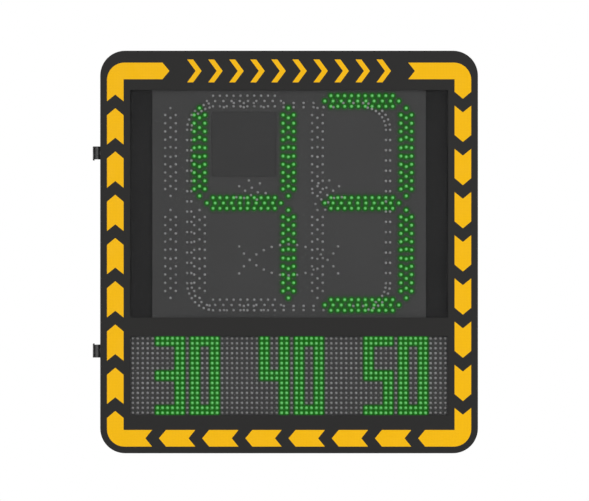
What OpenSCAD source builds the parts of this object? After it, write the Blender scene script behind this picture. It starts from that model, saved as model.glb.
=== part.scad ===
// Radar speed sign: a hinged front with two windows over a shallow housing that hangs on two rails.
// Millimetres. +Z is up, +X is to the right and the front looks along -Y.
// Y = 0 is the plane of the rails' backs, and Z = 0 is the middle of the face.

/* [Face] */
// Width of the face panel
face_w = 760; // [700:5:820]
// Height of the face panel
face_h = 810; // [750:5:880]
// Corner radius of the face panel
face_r = 50; // [45:1:80]
// Thickness of the face panel
face_t = 4; // [3:0.5:6]
// How far the face stands out past the housing on every side
face_lap = 8; // [7:0.5:12]

/* [Windows] */
// Distance from the sides of the face to the windows
win_side = 60; // [58:1:70]
// Distance from the top of the face to the digit window
win_top = 79; // [77:1:84]
// Distance from the bottom of the face to the message window
win_bottom = 76.5; // [74:0.5:80]
// Height of the land between the windows
land = 37.5; // [36:0.5:46]
// How much of the message modules' edge the face hides
module_lap = 0.5; // [0.3:0.1:2]
// Corner radius of both windows
win_r = 2.5; // [1:0.5:6]
// Thickness of the clear panes
pane_t = 3; // [2:0.5:4]
// How far a pane reaches behind the face on each side
pane_lap = 15; // [12:1:16]
// Width of the frames that clamp the panes
clamp_w = 12; // [8:1:14]
// Thickness of the frames that clamp the panes
clamp_t = 2; // [1:0.5:2]

/* [Arrow ring] */
// Width of the yellow band
band_w = 33.4; // [24:0.2:34]
// Length of one arrow from its tip to its feet
arrow_len = 73; // [60:1:78]
// Length of an arrow's point
arrow_point = 14; // [8:0.5:20]
// Depth of the notch between an arrow's feet
arrow_notch = 13.5; // [8:0.5:20]
// Arrows in each upright column
column_arrows = 7; // [5:1:7]
// Arrows in the bottom row
row_arrows = 6; // [4:1:6]
// Gap from the columns to the sides of the face
ring_side = 13.6; // [8:0.2:16]
// Gap from the ring to the top of the face
ring_top = 24; // [14:1:26]
// Gap from the ring to the bottom of the face
ring_bottom = 13.5; // [8:0.5:18]
// Outer radius of the ring's corners
ring_r = 35; // [35:1:45]
// Tail and head lengths of the upper left corner piece
corner_tl = [61, 109];
// Tail and head lengths of the upper right corner piece
corner_tr = [110, 56];
// Tail and head lengths of the lower right corner piece
corner_br = [61, 90];
// Tail and head lengths of the lower left corner piece
corner_bl = [74, 55];
// Thickness of the reflective film
film_t = 0.4; // [0.2:0.1:0.8]

/* [Header] */
// Gap from the row of chevrons to the longer corner piece
header_gap = 34.7; // [30:0.1:60]
// Height of the chevrons
header_h = 46; // [30:1:46]
// Number of chevrons
chevrons = 10; // [4:1:10]
// Stroke of a chevron along the row
chevron_stroke = 12; // [8:0.5:16]
// Depth of a chevron's point
chevron_point = 17; // [10:0.5:20]

/* [Digits] */
// Left digit shown
shown_tens = 4; // [0:1:9]
// Right digit shown
shown_units = 3; // [0:1:9]
// Distance from a digit's outermost middle rows of lamps to the window's top and bottom
digit_margin = 23.5; // [22:0.5:40]
// Height of the digits' middle above the window's middle
digit_rise = 1.7; // [0:0.1:3]
// Width of a digit between its columns of lamps, as a share of the window's width
digit_share = 0.2797; // [0.25:0.0001:0.2812]
// Middle of the left digit, as a share of the window's width
tens_share = -0.1422; // [-0.156:0.0001:-0.138]
// Middle of the right digit, as a share of the window's width
units_share = 0.2289; // [0.22:0.0001:0.24]
// Column of the leading one, as a share of the window's width
hundreds_share = -0.3734; // [-0.39:0.0001:-0.369]
// Distances from a digit's corner to the middle and outer rows of its flat segments
flat_ends = [15, 27.3];
// Distances from a digit's corner to the middle and outer rows of its upright segments
tall_ends = [14.2, 28.2];
// Distance from a segment's middle row of lamps to its outer rows
row_gap = 10.7; // [8:0.1:12]
// Lamps in each row of a segment
row_lamps = 10; // [6:1:10]
// Diameter of a lamp on the digit board
lamp_d = 5; // [3:0.1:6]
// Height of a lamp above its board
lamp_h = 4; // [2:0.5:4]
// Gap between a lamp and its board, where its legs pass
lamp_seat = 0.2; // [0.1:0.05:0.4]

/* [Face lamps] */
// Half width of the outer row of the round-cornered ring of lamps, as a share of the window's width
smile_share = 0.3194; // [0.3:0.0001:0.325]
// How much less than the window's half height the ring's half height is
smile_margin = 20.4; // [17:0.1:39]
// Corner radius of the outer row of lamps
smile_r = 54; // [30:1:70]
// Distance between the outer and the inner row of lamps
smile_rows = 8.4; // [6:0.1:12]
// Offset of the ring and the mouth to the right
smile_x = -1; // [-3:0.5:3]
// Depth of the ring's middle below the window's middle
smile_fall = 5.5; // [2:0.5:7]
// Radius of the mouth's two arcs
mouth_r = 114; // [90:1:120]
// Depth of the place where the mouth's arcs meet below the window's middle
mouth_fall = 113; // [105:1:121]
// Distance of each eye from the middle, as a share of the window's width
eye_share = 0.12; // [0.094:0.0005:0.14]
// Height of the eyes above the window's middle
eye_rise = 17.6; // [15:0.2:21]
// Radius of the eyes' outer ring of lamps
eye_r = 29.8; // [24:0.2:30]

/* [Digit board] */
// Distance from the window's sides to the digit board
board_side = 44.5; // [40:0.5:60]
// Thickness of the digit board
board_t = 2; // [1:0.5:3]
// How far the board reaches past the window above and below
board_lap = 2; // [1:0.5:2.5]
// Air between the lamps and the pane
lamp_air = 0.8; // [0.4:0.1:3]
// Diameter of the standoffs
standoff_d = 8; // [5:0.5:10]
// Distance from the board's sides to the standoffs
standoff_in = 12; // [8:1:16]
// Distance from the board's lower and upper edge to the standoffs, as a share of its height
standoff_share = 0.06; // [0.04:0.01:0.1]

/* [Radar] */
// Side of the square opening for the radar
radar_win = 132; // [110:1:134]
// Middle of the radar, as a share of the window's width
radar_share = -0.1414; // [-0.148:0.0001:-0.134]
// Depth of the radar's middle below the window's top
radar_fall = 109; // [106:1:114]
// Gap round the radar's cover
radar_gap = 0.5; // [0.3:0.1:2]
// Thickness of the radar's cover
radome_t = 3; // [2:0.5:4]
// How far the cover lies behind the board's front
radar_sink = 1; // [0:0.5:3]
// Depth of the radar's case behind its cover
radar_depth = 33; // [28:1:36]
// Width of the radar case's flange
radar_flange = 11; // [8:1:14]
// Gap between the radar case and its opening
radar_play = 2; // [1:0.5:4]
// Thickness and depth of the radar case's cooling ribs
radar_rib = [3, 8];

/* [Message modules] */
// Lamps across one message module
module_cols = 32; // [30:1:32]
// Lamps up one message module
module_rows = 16; // [16:1:16]
// Diameter of a message lamp
dot_d = 5; // [3:0.5:6]
// Distance from a module's edge to the bars that hold it
bar_in = 25; // [20:1:35]
// Height of the bars that hold the modules
bar_h = 20; // [16:1:24]
// Thickness of those bars
bar_t = 3; // [2:0.5:4]
// Distance from a module's sides to its screw posts
post_in = 20; // [14:1:28]
// Radius of the screw posts
post_r = 5; // [4:0.5:6]
// Thickness of the modules' circuit boards
pcb_t = 1.6; // [1:0.1:2]
// Gap round a circuit board and round the posts in it
pcb_gap = 0.3; // [0.2:0.1:0.5]
// Width, height and depth of the data socket on a circuit board
socket_size = [34, 12, 6];
// Wall thickness of a module's frame
module_wall = 3; // [2:0.5:4]
// Thickness of a module's front plate and of the ribs behind it
module_rib = 2; // [1.5:0.5:3]
// Numbers shown on the message modules
message = "30 40 50";
// Columns from one figure to the next
figure_cols = 7; // [7:1:7]

/* [Door] */
// Depth of the frame behind the face
frame_d = 22; // [22:1:26]
// Wall of the frame
frame_t = 2.5; // [2:0.5:3]
// Width of the frame's front flange
front_flange = 30; // [26:1:34]
// Width of the frame's rear flange
rear_flange = 16; // [14:1:18]
// Height of the crossbar between the windows
crossbar_h = 30; // [24:1:31]
// Thickness of the inner plate
inner_t = 2; // [1.5:0.5:3]
// Gap round the inner plate inside the frame
plate_gap = 3.5; // [2:0.5:5]
// Gap round the message modules in the inner plate's opening
opening_gap = 1; // [0.5:0.25:2]

/* [Housing] */
// Depth of the side band
shell_d = 108; // [104:1:130]
// Wall of the side band
shell_t = 2.5; // [2:0.5:3]
// Width of the band's front lip
lip_w = 12.5; // [12:0.5:14]
// Width of the band's rear flange
flange_w = 18; // [15:1:24]
// Thickness of the back plate
back_t = 2; // [1.5:0.5:3]
// Thickness of the door gasket
gasket_t = 3; // [2:0.5:5]
// Width of the door gasket
gasket_w = 8; // [6:0.5:9]
// Squeeze gap left between the gasket and the door
gasket_gap = 0.2; // [0.1:0.05:0.3]

/* [Rails] */
// Length of the rails
rail_len = 500; // [480:10:600]
// Depth of the rails
rail_d = 30; // [30:1:40]
// Height of the rails' web
rail_web = 40; // [36:1:50]
// Width of the rails' brims
rail_brim = 25; // [22:1:30]
// Sheet thickness of the rails
rail_t = 3; // [2:0.5:4]
// Height of each rail from the middle
rail_z = 200; // [190:5:220]
// Distance between the mounting holes of a rail
hole_x = 120; // [100:5:200]
// Diameter of the mounting holes
hole_d = 11; // [9:0.5:13]
// Distance from the middle to the rail bolts
bolt_x = 200; // [190:5:225]
// Diameter of the rail bolts
bolt_d = 8; // [6:0.5:8]
// How far the rail bolts stand out past their nuts
bolt_tip = 2.6; // [1:0.2:4]
// Thickness of the strips inside the back plate
backing_t = 3; // [2:0.5:4]
// How far the strips reach past the rails
backing_lap = 10; // [5:1:16]

/* [Hinges] */
// Height of the hinges from the middle
hinge_z = 200; // [190:5:260]
// Height of a hinge
hinge_h = 26; // [24:1:40]
// Outer radius of the knuckles
knuckle_r = 6.5; // [6:0.1:6.8]
// Diameter of the hinge pins
pin_d = 6; // [5:0.2:7]
// Distance from the face's edge to the pins
hinge_out = 7.3; // [7:0.1:8]
// Thickness of the hinge leaves
leaf_t = 4; // [3:0.5:5]
// Thickness of the guard plates outside the knuckles
guard_t = 2; // [1:0.5:2.5]
// How far a guard plate reaches past the hinge toward the middle
guard_lap = 2; // [0:0.5:4]
// How far the guard plates reach in front of the pins
guard_front = 6; // [5:0.5:7]
// Width of the guard plates from front to back
guard_w = 36; // [30:1:40]
// Corner radius of the leaves and the guard plates
leaf_r = 3; // [1:0.5:4]
// How far behind the pins the arms of the fixed leaves begin at the wall
arm_front = 5.5; // [5:0.5:8]
// How far behind the pins those arms end
arm_back = 24; // [20:1:28]
// Thickness of the arms of the door leaves
door_arm_t = 3.4; // [2.6:0.2:4]
// Gap from the foot of a door leaf to the frame's front edge
foot_front = 2; // [1:0.5:4]
// Gap from the foot of a door leaf to the frame's back edge
foot_back = 1; // [1:0.5:3]
// Diameter of the leaf screws
screw_d = 4.8; // [4:0.2:5]
// Distance from the door's edge to the rear end of a fixed leaf
leaf_reach = 53; // [50:1:56]
// Distance from that end to the first screw
leaf_end = 12; // [9:0.5:14]
// Distance between the two screws of a fixed leaf
leaf_step = 20; // [16:1:22]

/* [Locks] */
// Gap from the lower keeper bracket to the bar below it
lock_gap = 29; // [24:1:44]
// Diameter of a lock's barrel
lock_d = 19; // [18:0.5:20]
// Diameter of a lock's head
lock_head_d = 22; // [22:0.5:24]
// Thickness of a lock's head
lock_head_t = 3.5; // [2.5:0.5:4]
// Depth of a lock from the housing's side to the far face of its hook
lock_len = 34; // [33:0.5:35]
// Width and height of the key slot in a lock's plug
key_slot = [1.8, 8];
// Diameter of the plug's neck, which carries the hook
neck_d = 6; // [5:0.5:7]
// Diameter and thickness of the neck's riveted end
rivet_size = [9, 2.5];
// Diameter of the turning plug
plug_d = 12; // [10:0.5:13]
// Distance from the locks to the back of the frame
lock_back = 25; // [25:0.5:28]
// Distance from a lock's axis to its keeper pin
keeper_r = 18; // [17.5:0.1:18]
// Diameter of a keeper pin
keeper_d = 4; // [3:0.2:4.4]
// Thickness of a hook
hook_t = 3; // [2:0.5:3]
// Play between a keeper pin and the hook's slot
hook_play = 1.2; // [0.8:0.1:1.4]
// Width of the hook's outer arm
hook_arm = 3.4; // [2.6:0.1:4]
// Diameter of the hook's hub
hub_d = 18; // [16:0.5:20]
// Height of the keeper brackets
keeper_h = 30; // [24:1:34]
// Sheet thickness of the keeper brackets
keeper_t = 3; // [2:0.5:3]
// Width of the foot of a keeper bracket
keeper_foot = 21; // [18:1:24]

/* [Inside] */
// Width of the equipment tray
tray_w = 600; // [580:5:620]
// Height of the equipment tray
tray_h = 260; // [250:5:270]
// Length of the spacers behind the tray
tray_gap = 13; // [12:1:16]
// Distance from the tray's edges to its spacers
spacer_in = 25; // [18:1:30]
// Diameter of the spacers over their corners
spacer_d = 14; // [11:1:16]
// Diameter of the threaded holes in the spacers
spacer_hole = 5; // [4:0.5:6]
// Width, height and depth of the power supply
supply_size = [215, 115, 50];
// Distance from the tray's edge to the power supply
supply_in = 22; // [16:1:30]
// Height of the power supply's middle above the tray's middle
supply_rise = 20; // [0:1:30]
// Width and depth of the step for the power supply's terminals
supply_step = [22, 30];
// Walls above and below that step
supply_wall = 6; // [3:0.5:8]
// Width, height and depth of the power supply's air slots
air_slot = [5, 18, 1.5];
// Distances from one air slot to the next, across and up
air_slot_step = [20, 27];
// Distance from the edges of the power supply to the first air slot
air_slot_in = 16; // [12:1:18]
// Width, height and depth of the controller
controller_size = [220, 130, 38];
// Gap between the flange of the radar case and the controller
controller_gap = 43.5; // [30:0.5:46]
// Depth of the controller below the top of the digit window
controller_fall = 26; // [10:1:40]
// Corner radius of the controller
controller_r = 6; // [3:0.5:8]
// Thickness of the controller's lid
lid_t = 6; // [4:0.5:8]
// Width and height of the lid's ribs
lid_rib = [3, 2];
// Distance from the lid's edges to its sunk screws
lid_screw_in = 8; // [6:0.5:10]
// Width of the two ears that the controller is screwed on by
ear_w = 18; // [16:1:20]
// Diameter of the screw holes in the ears
ear_hole = 5.2; // [4:0.2:6]
// Thickness of the ears and of the radar case's flange
flange_t = 3; // [2:0.5:4]
// Sheet thickness of the tray
tray_t = 2; // [1.5:0.5:3]
// Depth of the tray's lips
tray_lip = 12; // [8:1:16]
// Length and height of the slots for cable ties in the tray
tray_slot = [60, 10];
// Distance from one of those slots to the next
tray_slot_step = 109; // [90:1:125]
// Distance from the tray's lower edge to the slots
tray_slot_in = 40; // [30:1:50]
// Height of the middle of the equipment rail
rail35_z = 35; // [25:1:40]
// Height, depth and sheet thickness of the equipment rail, and height of its sunk middle
rail35 = [35, 7.5, 1, 25];
// Distance from the tray's edge to the end of the equipment rail
rail35_in = 20; // [10:1:30]
// Width, height and depth of the breaker
breaker_size = [36, 82, 60];
// Width, height and depth of the surge protector
arrester_size = [36, 82, 56];
// Width, height and depth of one terminal block
terminal_size = [6.8, 46, 40];
// Number of terminal blocks
terminals = 16; // [8:1:16]
// Gap between the power supply and the equipment rail
supply_gap = 33; // [25:1:45]
// Gap between one device and the next on the equipment rail
device_gap = 8; // [4:1:12]
// Distance of the gland and the vent from the middle
gland_x = 150; // [100:5:180]
// Distance of the gland and the vent from the bottom of the housing
gland_in = 77; // [60:1:100]
// Diameter of the gland's thread
gland_thread_d = 24; // [20:1:25]
// Diameter of the gland's bore, where the supply cable goes in
gland_bore = 10; // [6:0.5:12]
// Diameter of the gland's flats and of its nut over their corners
gland_hex = 34; // [33:0.5:38]
// Diameter of the vent's thread
vent_thread_d = 12; // [10:1:14]

/* [Fits] */
// Radial clearance of turning fits
run_fit = 0.05; // [0.02:0.01:0.1]
// Radial clearance of screws and bolts in their holes
bolt_fit = 0.3; // [0.2:0.05:0.6]
// Clearance between flat faces that pass each other
slide_gap = 0.2; // [0.1:0.05:0.4]

/* [Hidden] */
$fn = 48;

// Height of a screw's head and of a nut, and radius of a pan head and of a hexagon over its corners,
// each as a share of the thread's diameter
head_share = 0.66;
nut_share = 0.8;
pan_share = 0.8;
hex_share = 0.94;
// How far the cutter of a hole or a recess reaches past the wall that it goes through
cut = 10;

// Planes along Y, from the back to the front
back_y = -rail_d;
shell_back = back_y - back_t;
shell_front = shell_back - shell_d;
split_y = shell_front - gasket_t;
panel_back = split_y - frame_d;
panel_front = panel_back - face_t;
pane_back = panel_back + pane_t;
clamp_back = pane_back + clamp_t;
lamp_front = pane_back + lamp_air;
board_front = lamp_front + lamp_h + lamp_seat;
board_back = board_front + board_t;
inner_back = split_y - frame_t;
inner_front = inner_back - inner_t;
board_standoff = inner_front - board_back;
module_depth = inner_back - board_front;

// Outlines of the housing and the windows
shell_w = face_w - 2 * face_lap;
shell_h = face_h - 2 * face_lap;
shell_r = face_r - face_lap;
side_x = shell_w / 2;
digit_win_w = face_w - 2 * win_side;
module_w = digit_win_w / 2;
pitch = module_w / module_cols;
module_h = module_rows * pitch;
msg_win_w = digit_win_w - 2 * module_lap;
msg_win_h = module_h - 2 * module_lap;
message_z = -face_h / 2 + win_bottom + msg_win_h / 2;
digit_win_low = message_z + msg_win_h / 2 + land;
digit_win_top = face_h / 2 - win_top;
digit_win_h = digit_win_top - digit_win_low;
digit_win_z = (digit_win_top + digit_win_low) / 2;
land_z = digit_win_low - land / 2;
pane_step = min(pane_lap, land / 2 - 1);

// Digits, face lamps, board and radar, from the digit window
digit_h = digit_win_h - 2 * digit_margin;
digit_w = digit_share * digit_win_w;
tens_x = tens_share * digit_win_w;
units_x = units_share * digit_win_w;
hundreds_x = hundreds_share * digit_win_w;
digit_z = digit_win_z + digit_rise;
smile_half_w = smile_share * digit_win_w;
smile_half_h = digit_win_h / 2 - smile_margin;
smile_z = digit_win_z - smile_fall;
mouth_z = digit_win_z - mouth_fall;
eye_x = eye_share * digit_win_w;
eye_z = digit_win_z + eye_rise;
board_w = digit_win_w - 2 * board_side;
radar_x = radar_share * digit_win_w;
radar_z = digit_win_top - radar_fall;

// Centre lines of the arrow ring
col_x = face_w / 2 - ring_side - band_w / 2;
row_top = face_h / 2 - ring_top - band_w / 2;
row_bottom = -face_h / 2 + ring_bottom + band_w / 2;
arrow_body = arrow_len - arrow_notch;
bend = max(ring_r - band_w / 2, band_w / 2 + 0.5);

// Hinges and locks
hinge_x = -face_w / 2 - hinge_out;
wall_dx = -side_x - hinge_x;
knuckle_h = hinge_h / 3;
lock_y = split_y + lock_back;
bar_off = module_h / 2 - bar_in;
lock_z = -message_z - bar_off - bar_h / 2 - lock_gap - keeper_h / 2;
hook_x = side_x - lock_len;
keeper_x = hook_x - 2 * rivet_size.y;

// Segments that form the figures 0 to 9
FIGURES = ["abcdef", "bc", "abged", "abgcd", "fgbc", "afgcd", "afgedc", "abc", "abcdefg", "abcdfg"];

function lit(figure, segment) = len(search(segment, FIGURES[figure])) > 0;
function spread(half, n) = [for (i = [0:n - 1]) -half + 2 * half * i / (n - 1)];
function turned(p, a) = [p.x * cos(a) - p.y * sin(a), p.x * sin(a) + p.y * cos(a)];

// Lamps of one segment that lies flat: a long middle row and a shorter row on each side
function bar_lamps(mid, outer) = concat(
    [for (x = spread(mid, row_lamps)) [x, 0]],
    [for (s = [-1, 1], x = spread(outer, row_lamps)) [x, s * row_gap]]
);

flat_lamps = bar_lamps(digit_w / 2 - flat_ends[0], digit_w / 2 - flat_ends[1]);
tall_lamps = [for (p = bar_lamps(digit_h / 4 - tall_ends[0], digit_h / 4 - tall_ends[1])) turned(p, 90)];

// Place and kind of each segment of a figure
SEGMENTS = [
    ["a", 0, 1, false], ["b", 1, 0.5, true], ["c", 1, -0.5, true], ["d", 0, -1, false],
    ["e", -1, -0.5, true], ["f", -1, 0.5, true], ["g", 0, 0, false]
];

function segment_lamps(s, x) = [
    for (p = s[3] ? tall_lamps : flat_lamps)
        [x + s[1] * digit_w / 2 + p.x, digit_z + s[2] * digit_h / 2 + p.y]
];

function figure_lamps(figure, x, on) = [
    for (s = SEGMENTS) if (lit(figure, s[0]) == on) each segment_lamps(s, x)
];

leading_lamps = [
    for (s = [SEGMENTS[4], SEGMENTS[5]]) each segment_lamps(s, hundreds_x + digit_w / 2)
];

// One row of the round-cornered ring of lamps
function ring_row(a, b, r) = concat(
    [for (s = [-1, 1], x = spread(a - r, 16)) [x, s * b]],
    [for (s = [-1, 1], y = spread(b - r, 16)) [s * a, y]],
    [for (q = [0:3], i = [1:7]) let (t = 90 * q + 90 * i / 8)
        [(q == 0 || q == 3 ? 1 : -1) * (a - r) + r * cos(t), (q < 2 ? 1 : -1) * (b - r) + r * sin(t)]]
);

function eye_lamps(s) = concat(
    [[s * eye_x, eye_z]],
    [for (i = [0:5]) [s * (eye_x - eye_r / 2 * cos(83 + 60 * i)), eye_z + eye_r / 2 * sin(83 + 60 * i)]],
    [for (i = [0:7]) [s * (eye_x - eye_r * cos(98 + 45 * i)), eye_z + eye_r * sin(98 + 45 * i)]]
);

mouth_step = 8.7;
mouth_drop = mouth_r * cos(5 * mouth_step);
function smile_lamps() = concat(
    [for (p = ring_row(smile_half_w, smile_half_h, smile_r)) [p.x + smile_x, p.y + smile_z]],
    [for (p = ring_row(smile_half_w - smile_rows, smile_half_h - smile_rows, smile_r - smile_rows))
        [p.x + smile_x, p.y + smile_z]],
    eye_lamps(-1),
    eye_lamps(1),
    [for (i = [-7:7], t = i * mouth_step)
        [mouth_r * sin(t) + smile_x, mouth_z + mouth_drop - mouth_r * cos(t)]],
    [for (i = [-7:7]) if (abs(i) != 5) let (t = i * mouth_step)
        [mouth_r * sin(t) + smile_x, mouth_z - mouth_drop + mouth_r * cos(t)]]
);

// Lamps of a that lie clear of every lamp of b
function clear_of(a, b) = [
    for (p = a) if (min([for (q = b) norm(p - q)]) > lamp_d + 0.1) p
];

// Whether a message lamp belongs to a figure: strokes are two lamps wide
function stroke(figure, c, r) =
    (r < 2 && lit(figure, "a")) || (r > 13 && lit(figure, "d")) ||
    ((r == 7 || r == 8) && lit(figure, "g")) ||
    (c < 2 && r < 9 && lit(figure, "f")) || (c > 3 && r < 9 && lit(figure, "b")) ||
    (c < 2 && r > 6 && lit(figure, "e")) || (c > 3 && r > 6 && lit(figure, "c"));

message_start = round((2 * module_cols - len(message) * figure_cols + 1) / 2);

function shown(c, r) = let (k = floor((c - message_start) / figure_cols))
    k >= 0 && k < len(message) && message[k] != " " &&
    c - message_start - k * figure_cols < 6 &&
    stroke(ord(message[k]) - 48, c - message_start - k * figure_cols, r);

function message_lamps(on) = [
    for (c = [0:2 * module_cols - 1], r = [0:module_rows - 1]) if (shown(c, r) == on)
        [(c + 0.5 - module_cols) * pitch, message_z + (module_rows / 2 - 0.5 - r) * pitch]
];

// A flat outline raised from the plane y toward the front
module front(y, t) {
    translate([0, y, 0])
        rotate([90, 0, 0])
            linear_extrude(t)
                children();
}

// A section in the plane of Y and Z, drawn out along X
module along_x(x, length) {
    translate([x, 0, 0])
        rotate([90, 0, 90])
            linear_extrude(length)
                children();
}

module x_rod(x0, x1, r) {
    translate([x0, 0, 0])
        rotate([0, 90, 0])
            cylinder(r = r, h = x1 - x0);
}

module y_rod(x, z, y, t, r, sides = 48) {
    translate([x, y, z])
        rotate([90, 0, 0])
            cylinder(r = r, h = t, $fn = sides);
}

module round_rect(w, h, r) {
    square([w - 2 * r, h], center = true);
    square([w, h - 2 * r], center = true);
    for (sx = [-1, 1], sz = [-1, 1])
        translate([sx * (w / 2 - r), sz * (h / 2 - r)])
            circle(r);
}

// A rounded ring whose wall is given, measured inward from the outline
module ring(w, h, r, wall) {
    difference() {
        round_rect(w, h, r);
        round_rect(w - 2 * wall, h - 2 * wall, max(r - wall, 4));
    }
}

// Outline of a window, moved to its place
module window(w, h, z, grow = 0) {
    translate([0, z])
        round_rect(w + 2 * grow, h + 2 * grow, win_r + max(grow, 0));
}

module side_band() {
    color([0.2, 0.2, 0.2])
        difference() {
            union() {
                front(shell_back, shell_d)
                    ring(shell_w, shell_h, shell_r, shell_t);
                front(shell_back, shell_t)
                    ring(shell_w, shell_h, shell_r, flange_w);
                front(shell_front + shell_t, shell_t)
                    ring(shell_w, shell_h, shell_r, lip_w);
            }
            for (s = [-1, 1]) {
                translate([0, lock_y, s * lock_z])
                    x_rod(side_x - cut, side_x + cut, lock_d / 2 + bolt_fit);
                for (y = leaf_screw_y)
                    translate([0, y, s * hinge_z])
                        x_rod(-side_x - cut, -side_x + cut, screw_d / 2 + bolt_fit);
            }
        }
}

gland_at = [gland_x, gland_in - shell_h / 2];
vent_at = [-gland_x, gland_in - shell_h / 2];

module back_plate() {
    color([0.3, 0.31, 0.32])
        difference() {
            front(back_y, back_t)
                round_rect(shell_w, shell_h, shell_r);
            rail_bolt_places()
                y_rod(0, 0, cut, rail_d + 2 * cut, bolt_d / 2 + bolt_fit);
            y_rod(gland_at.x, gland_at.y, cut, rail_d + 2 * cut, gland_thread_d / 2 + bolt_fit);
            y_rod(vent_at.x, vent_at.y, cut, rail_d + 2 * cut, vent_thread_d / 2 + bolt_fit);
        }
}

module rail_bolt_places() {
    for (sx = [-1, 1], sz = [-1, 1], b = [-1, 1])
        translate([sx * bolt_x, 0, sz * rail_z + b * (rail_web + rail_brim + rail_t) / 2])
            children();
}

module backing_strips() {
    color([0.6, 0.61, 0.62])
        difference() {
            for (s = [-1, 1])
                translate([0, 0, s * rail_z])
                    front(shell_back, backing_t)
                        square([rail_len, rail_web + 2 * rail_brim + 2 * backing_lap], center = true);
            rail_bolt_places()
                y_rod(0, 0, cut, rail_d + 2 * cut, bolt_d / 2 + bolt_fit);
        }
}

// Hat section: the web is at the back and the brims lie on the back plate
module rail(z) {
    w = rail_web / 2;
    b = w + rail_brim;
    color([0.62, 0.63, 0.64])
        difference() {
            translate([0, 0, z])
                along_x(-rail_len / 2, rail_len)
                    polygon([
                        [0, -w], [0, w], [-rail_d + rail_t, w], [-rail_d + rail_t, b], [-rail_d, b],
                        [-rail_d, w - rail_t], [-rail_t, w - rail_t], [-rail_t, -w + rail_t],
                        [-rail_d, -w + rail_t], [-rail_d, -b], [-rail_d + rail_t, -b], [-rail_d + rail_t, -w]
                    ]);
            for (s = [-1, 1])
                y_rod(s * hole_x / 2, z, cut, rail_t + 2 * cut, hole_d / 2);
            rail_bolt_places()
                y_rod(0, 0, cut, rail_d + 2 * cut, bolt_d / 2 + bolt_fit);
        }
}

module upper_rail() {
    rail(rail_z);
}

module lower_rail() {
    rail(-rail_z);
}

bolt_length = rail_t + back_t + backing_t + nut_share * bolt_d + bolt_tip;

module rail_bolts() {
    color([0.72, 0.73, 0.74])
        rail_bolt_places() {
            y_rod(0, 0, back_y + rail_t + head_share * bolt_d, head_share * bolt_d, hex_share * bolt_d, 6);
            y_rod(0, 0, back_y + rail_t, bolt_length, bolt_d / 2);
        }
}

module rail_nuts() {
    color([0.72, 0.73, 0.74])
        rail_bolt_places()
            difference() {
                y_rod(0, 0, shell_back - backing_t, nut_share * bolt_d, hex_share * bolt_d, 6);
                y_rod(0, 0, cut, rail_d + 3 * cut, bolt_d / 2 + run_fit);
            }
}

module door_gasket() {
    color([0.08, 0.08, 0.08])
        front(shell_front, gasket_t - gasket_gap)
            ring(shell_w - 2, shell_h - 2, shell_r - 1, gasket_w);
}

// Hinges
leaf_back = split_y + leaf_reach;
leaf_screw_y = [leaf_back - leaf_end, leaf_back - leaf_end - leaf_step];
door_screw_y = split_y - (frame_d + foot_front) / 2;
screw_head = screw_d / 2;

// Flat plate with round corners across X, between two places along Y
module leaf_plate(x, y0, y1, low, high, t) {
    along_x(x, t)
        translate([(y0 + y1) / 2, (low + high) / 2])
            round_rect(y1 - y0, high - low, leaf_r);
}

// Arm and foot of the fixed leaf, seen from above with the pin at the origin
module fixed_arm() {
    outer = -knuckle_r - slide_gap;
    circle(knuckle_r);
    polygon([
        [outer, 0], [outer, arm_front], [wall_dx - leaf_t, arm_back], [wall_dx, arm_back],
        [wall_dx, arm_front], knuckle_r * [cos(45), -sin(45)], [0, 0]
    ]);
}

module fixed_leaf(s) {
    low = -hinge_h / 2 - (s > 0 ? guard_lap : 0);
    color([0.5, 0.51, 0.52])
        translate([hinge_x, split_y, s * hinge_z])
            difference() {
                union() {
                    for (e = [-1, 1])
                        translate([0, 0, e * (hinge_h + knuckle_h) / 4 - (hinge_h - knuckle_h) / 4])
                            linear_extrude((hinge_h - knuckle_h) / 2)
                                fixed_arm();
                    leaf_plate(wall_dx - leaf_t, arm_back / 2, leaf_reach, -hinge_h / 2, hinge_h / 2, leaf_t);
                    leaf_plate(
                        -knuckle_r - slide_gap - guard_t, -guard_front, guard_w - guard_front,
                        low, low + hinge_h + guard_lap, guard_t
                    );
                }
                translate([0, 0, -hinge_h])
                    cylinder(d = pin_d + 2 * run_fit, h = 2 * hinge_h);
                for (y = leaf_screw_y)
                    translate([0, y - split_y, 0])
                        x_rod(-wall_dx - cut, wall_dx + cut, screw_d / 2 + bolt_fit);
            }
}

module hinge_leaf_upper() {
    fixed_leaf(1);
}

module hinge_leaf_lower() {
    fixed_leaf(-1);
}

module hinge_pins() {
    color([0.8, 0.8, 0.8])
        for (s = [-1, 1])
            translate([hinge_x, split_y, s * hinge_z - hinge_h / 2])
                cylinder(d = pin_d, h = hinge_h);
}

// Pan-head screws whose heads bear on the fixed leaves
module hinge_screws() {
    color([0.75, 0.76, 0.77])
        for (s = [-1, 1], y = leaf_screw_y)
            translate([0, y, s * hinge_z]) {
                x_rod(-side_x - leaf_t - screw_head, -side_x - leaf_t, pan_share * screw_d);
                x_rod(-side_x - leaf_t, -side_x + shell_t + 1.25 * screw_d, screw_d / 2);
            }
}

module hinge_nuts() {
    color([0.75, 0.76, 0.77])
        for (s = [-1, 1], y = leaf_screw_y)
            translate([0, y, s * hinge_z])
                difference() {
                    translate([-side_x + shell_t, 0, 0])
                        rotate([0, 90, 0])
                            cylinder(r = hex_share * screw_d, h = nut_share * screw_d, $fn = 6);
                    x_rod(-side_x, -side_x + shell_t + 2 * screw_d, screw_d / 2 + run_fit);
                }
}

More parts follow.
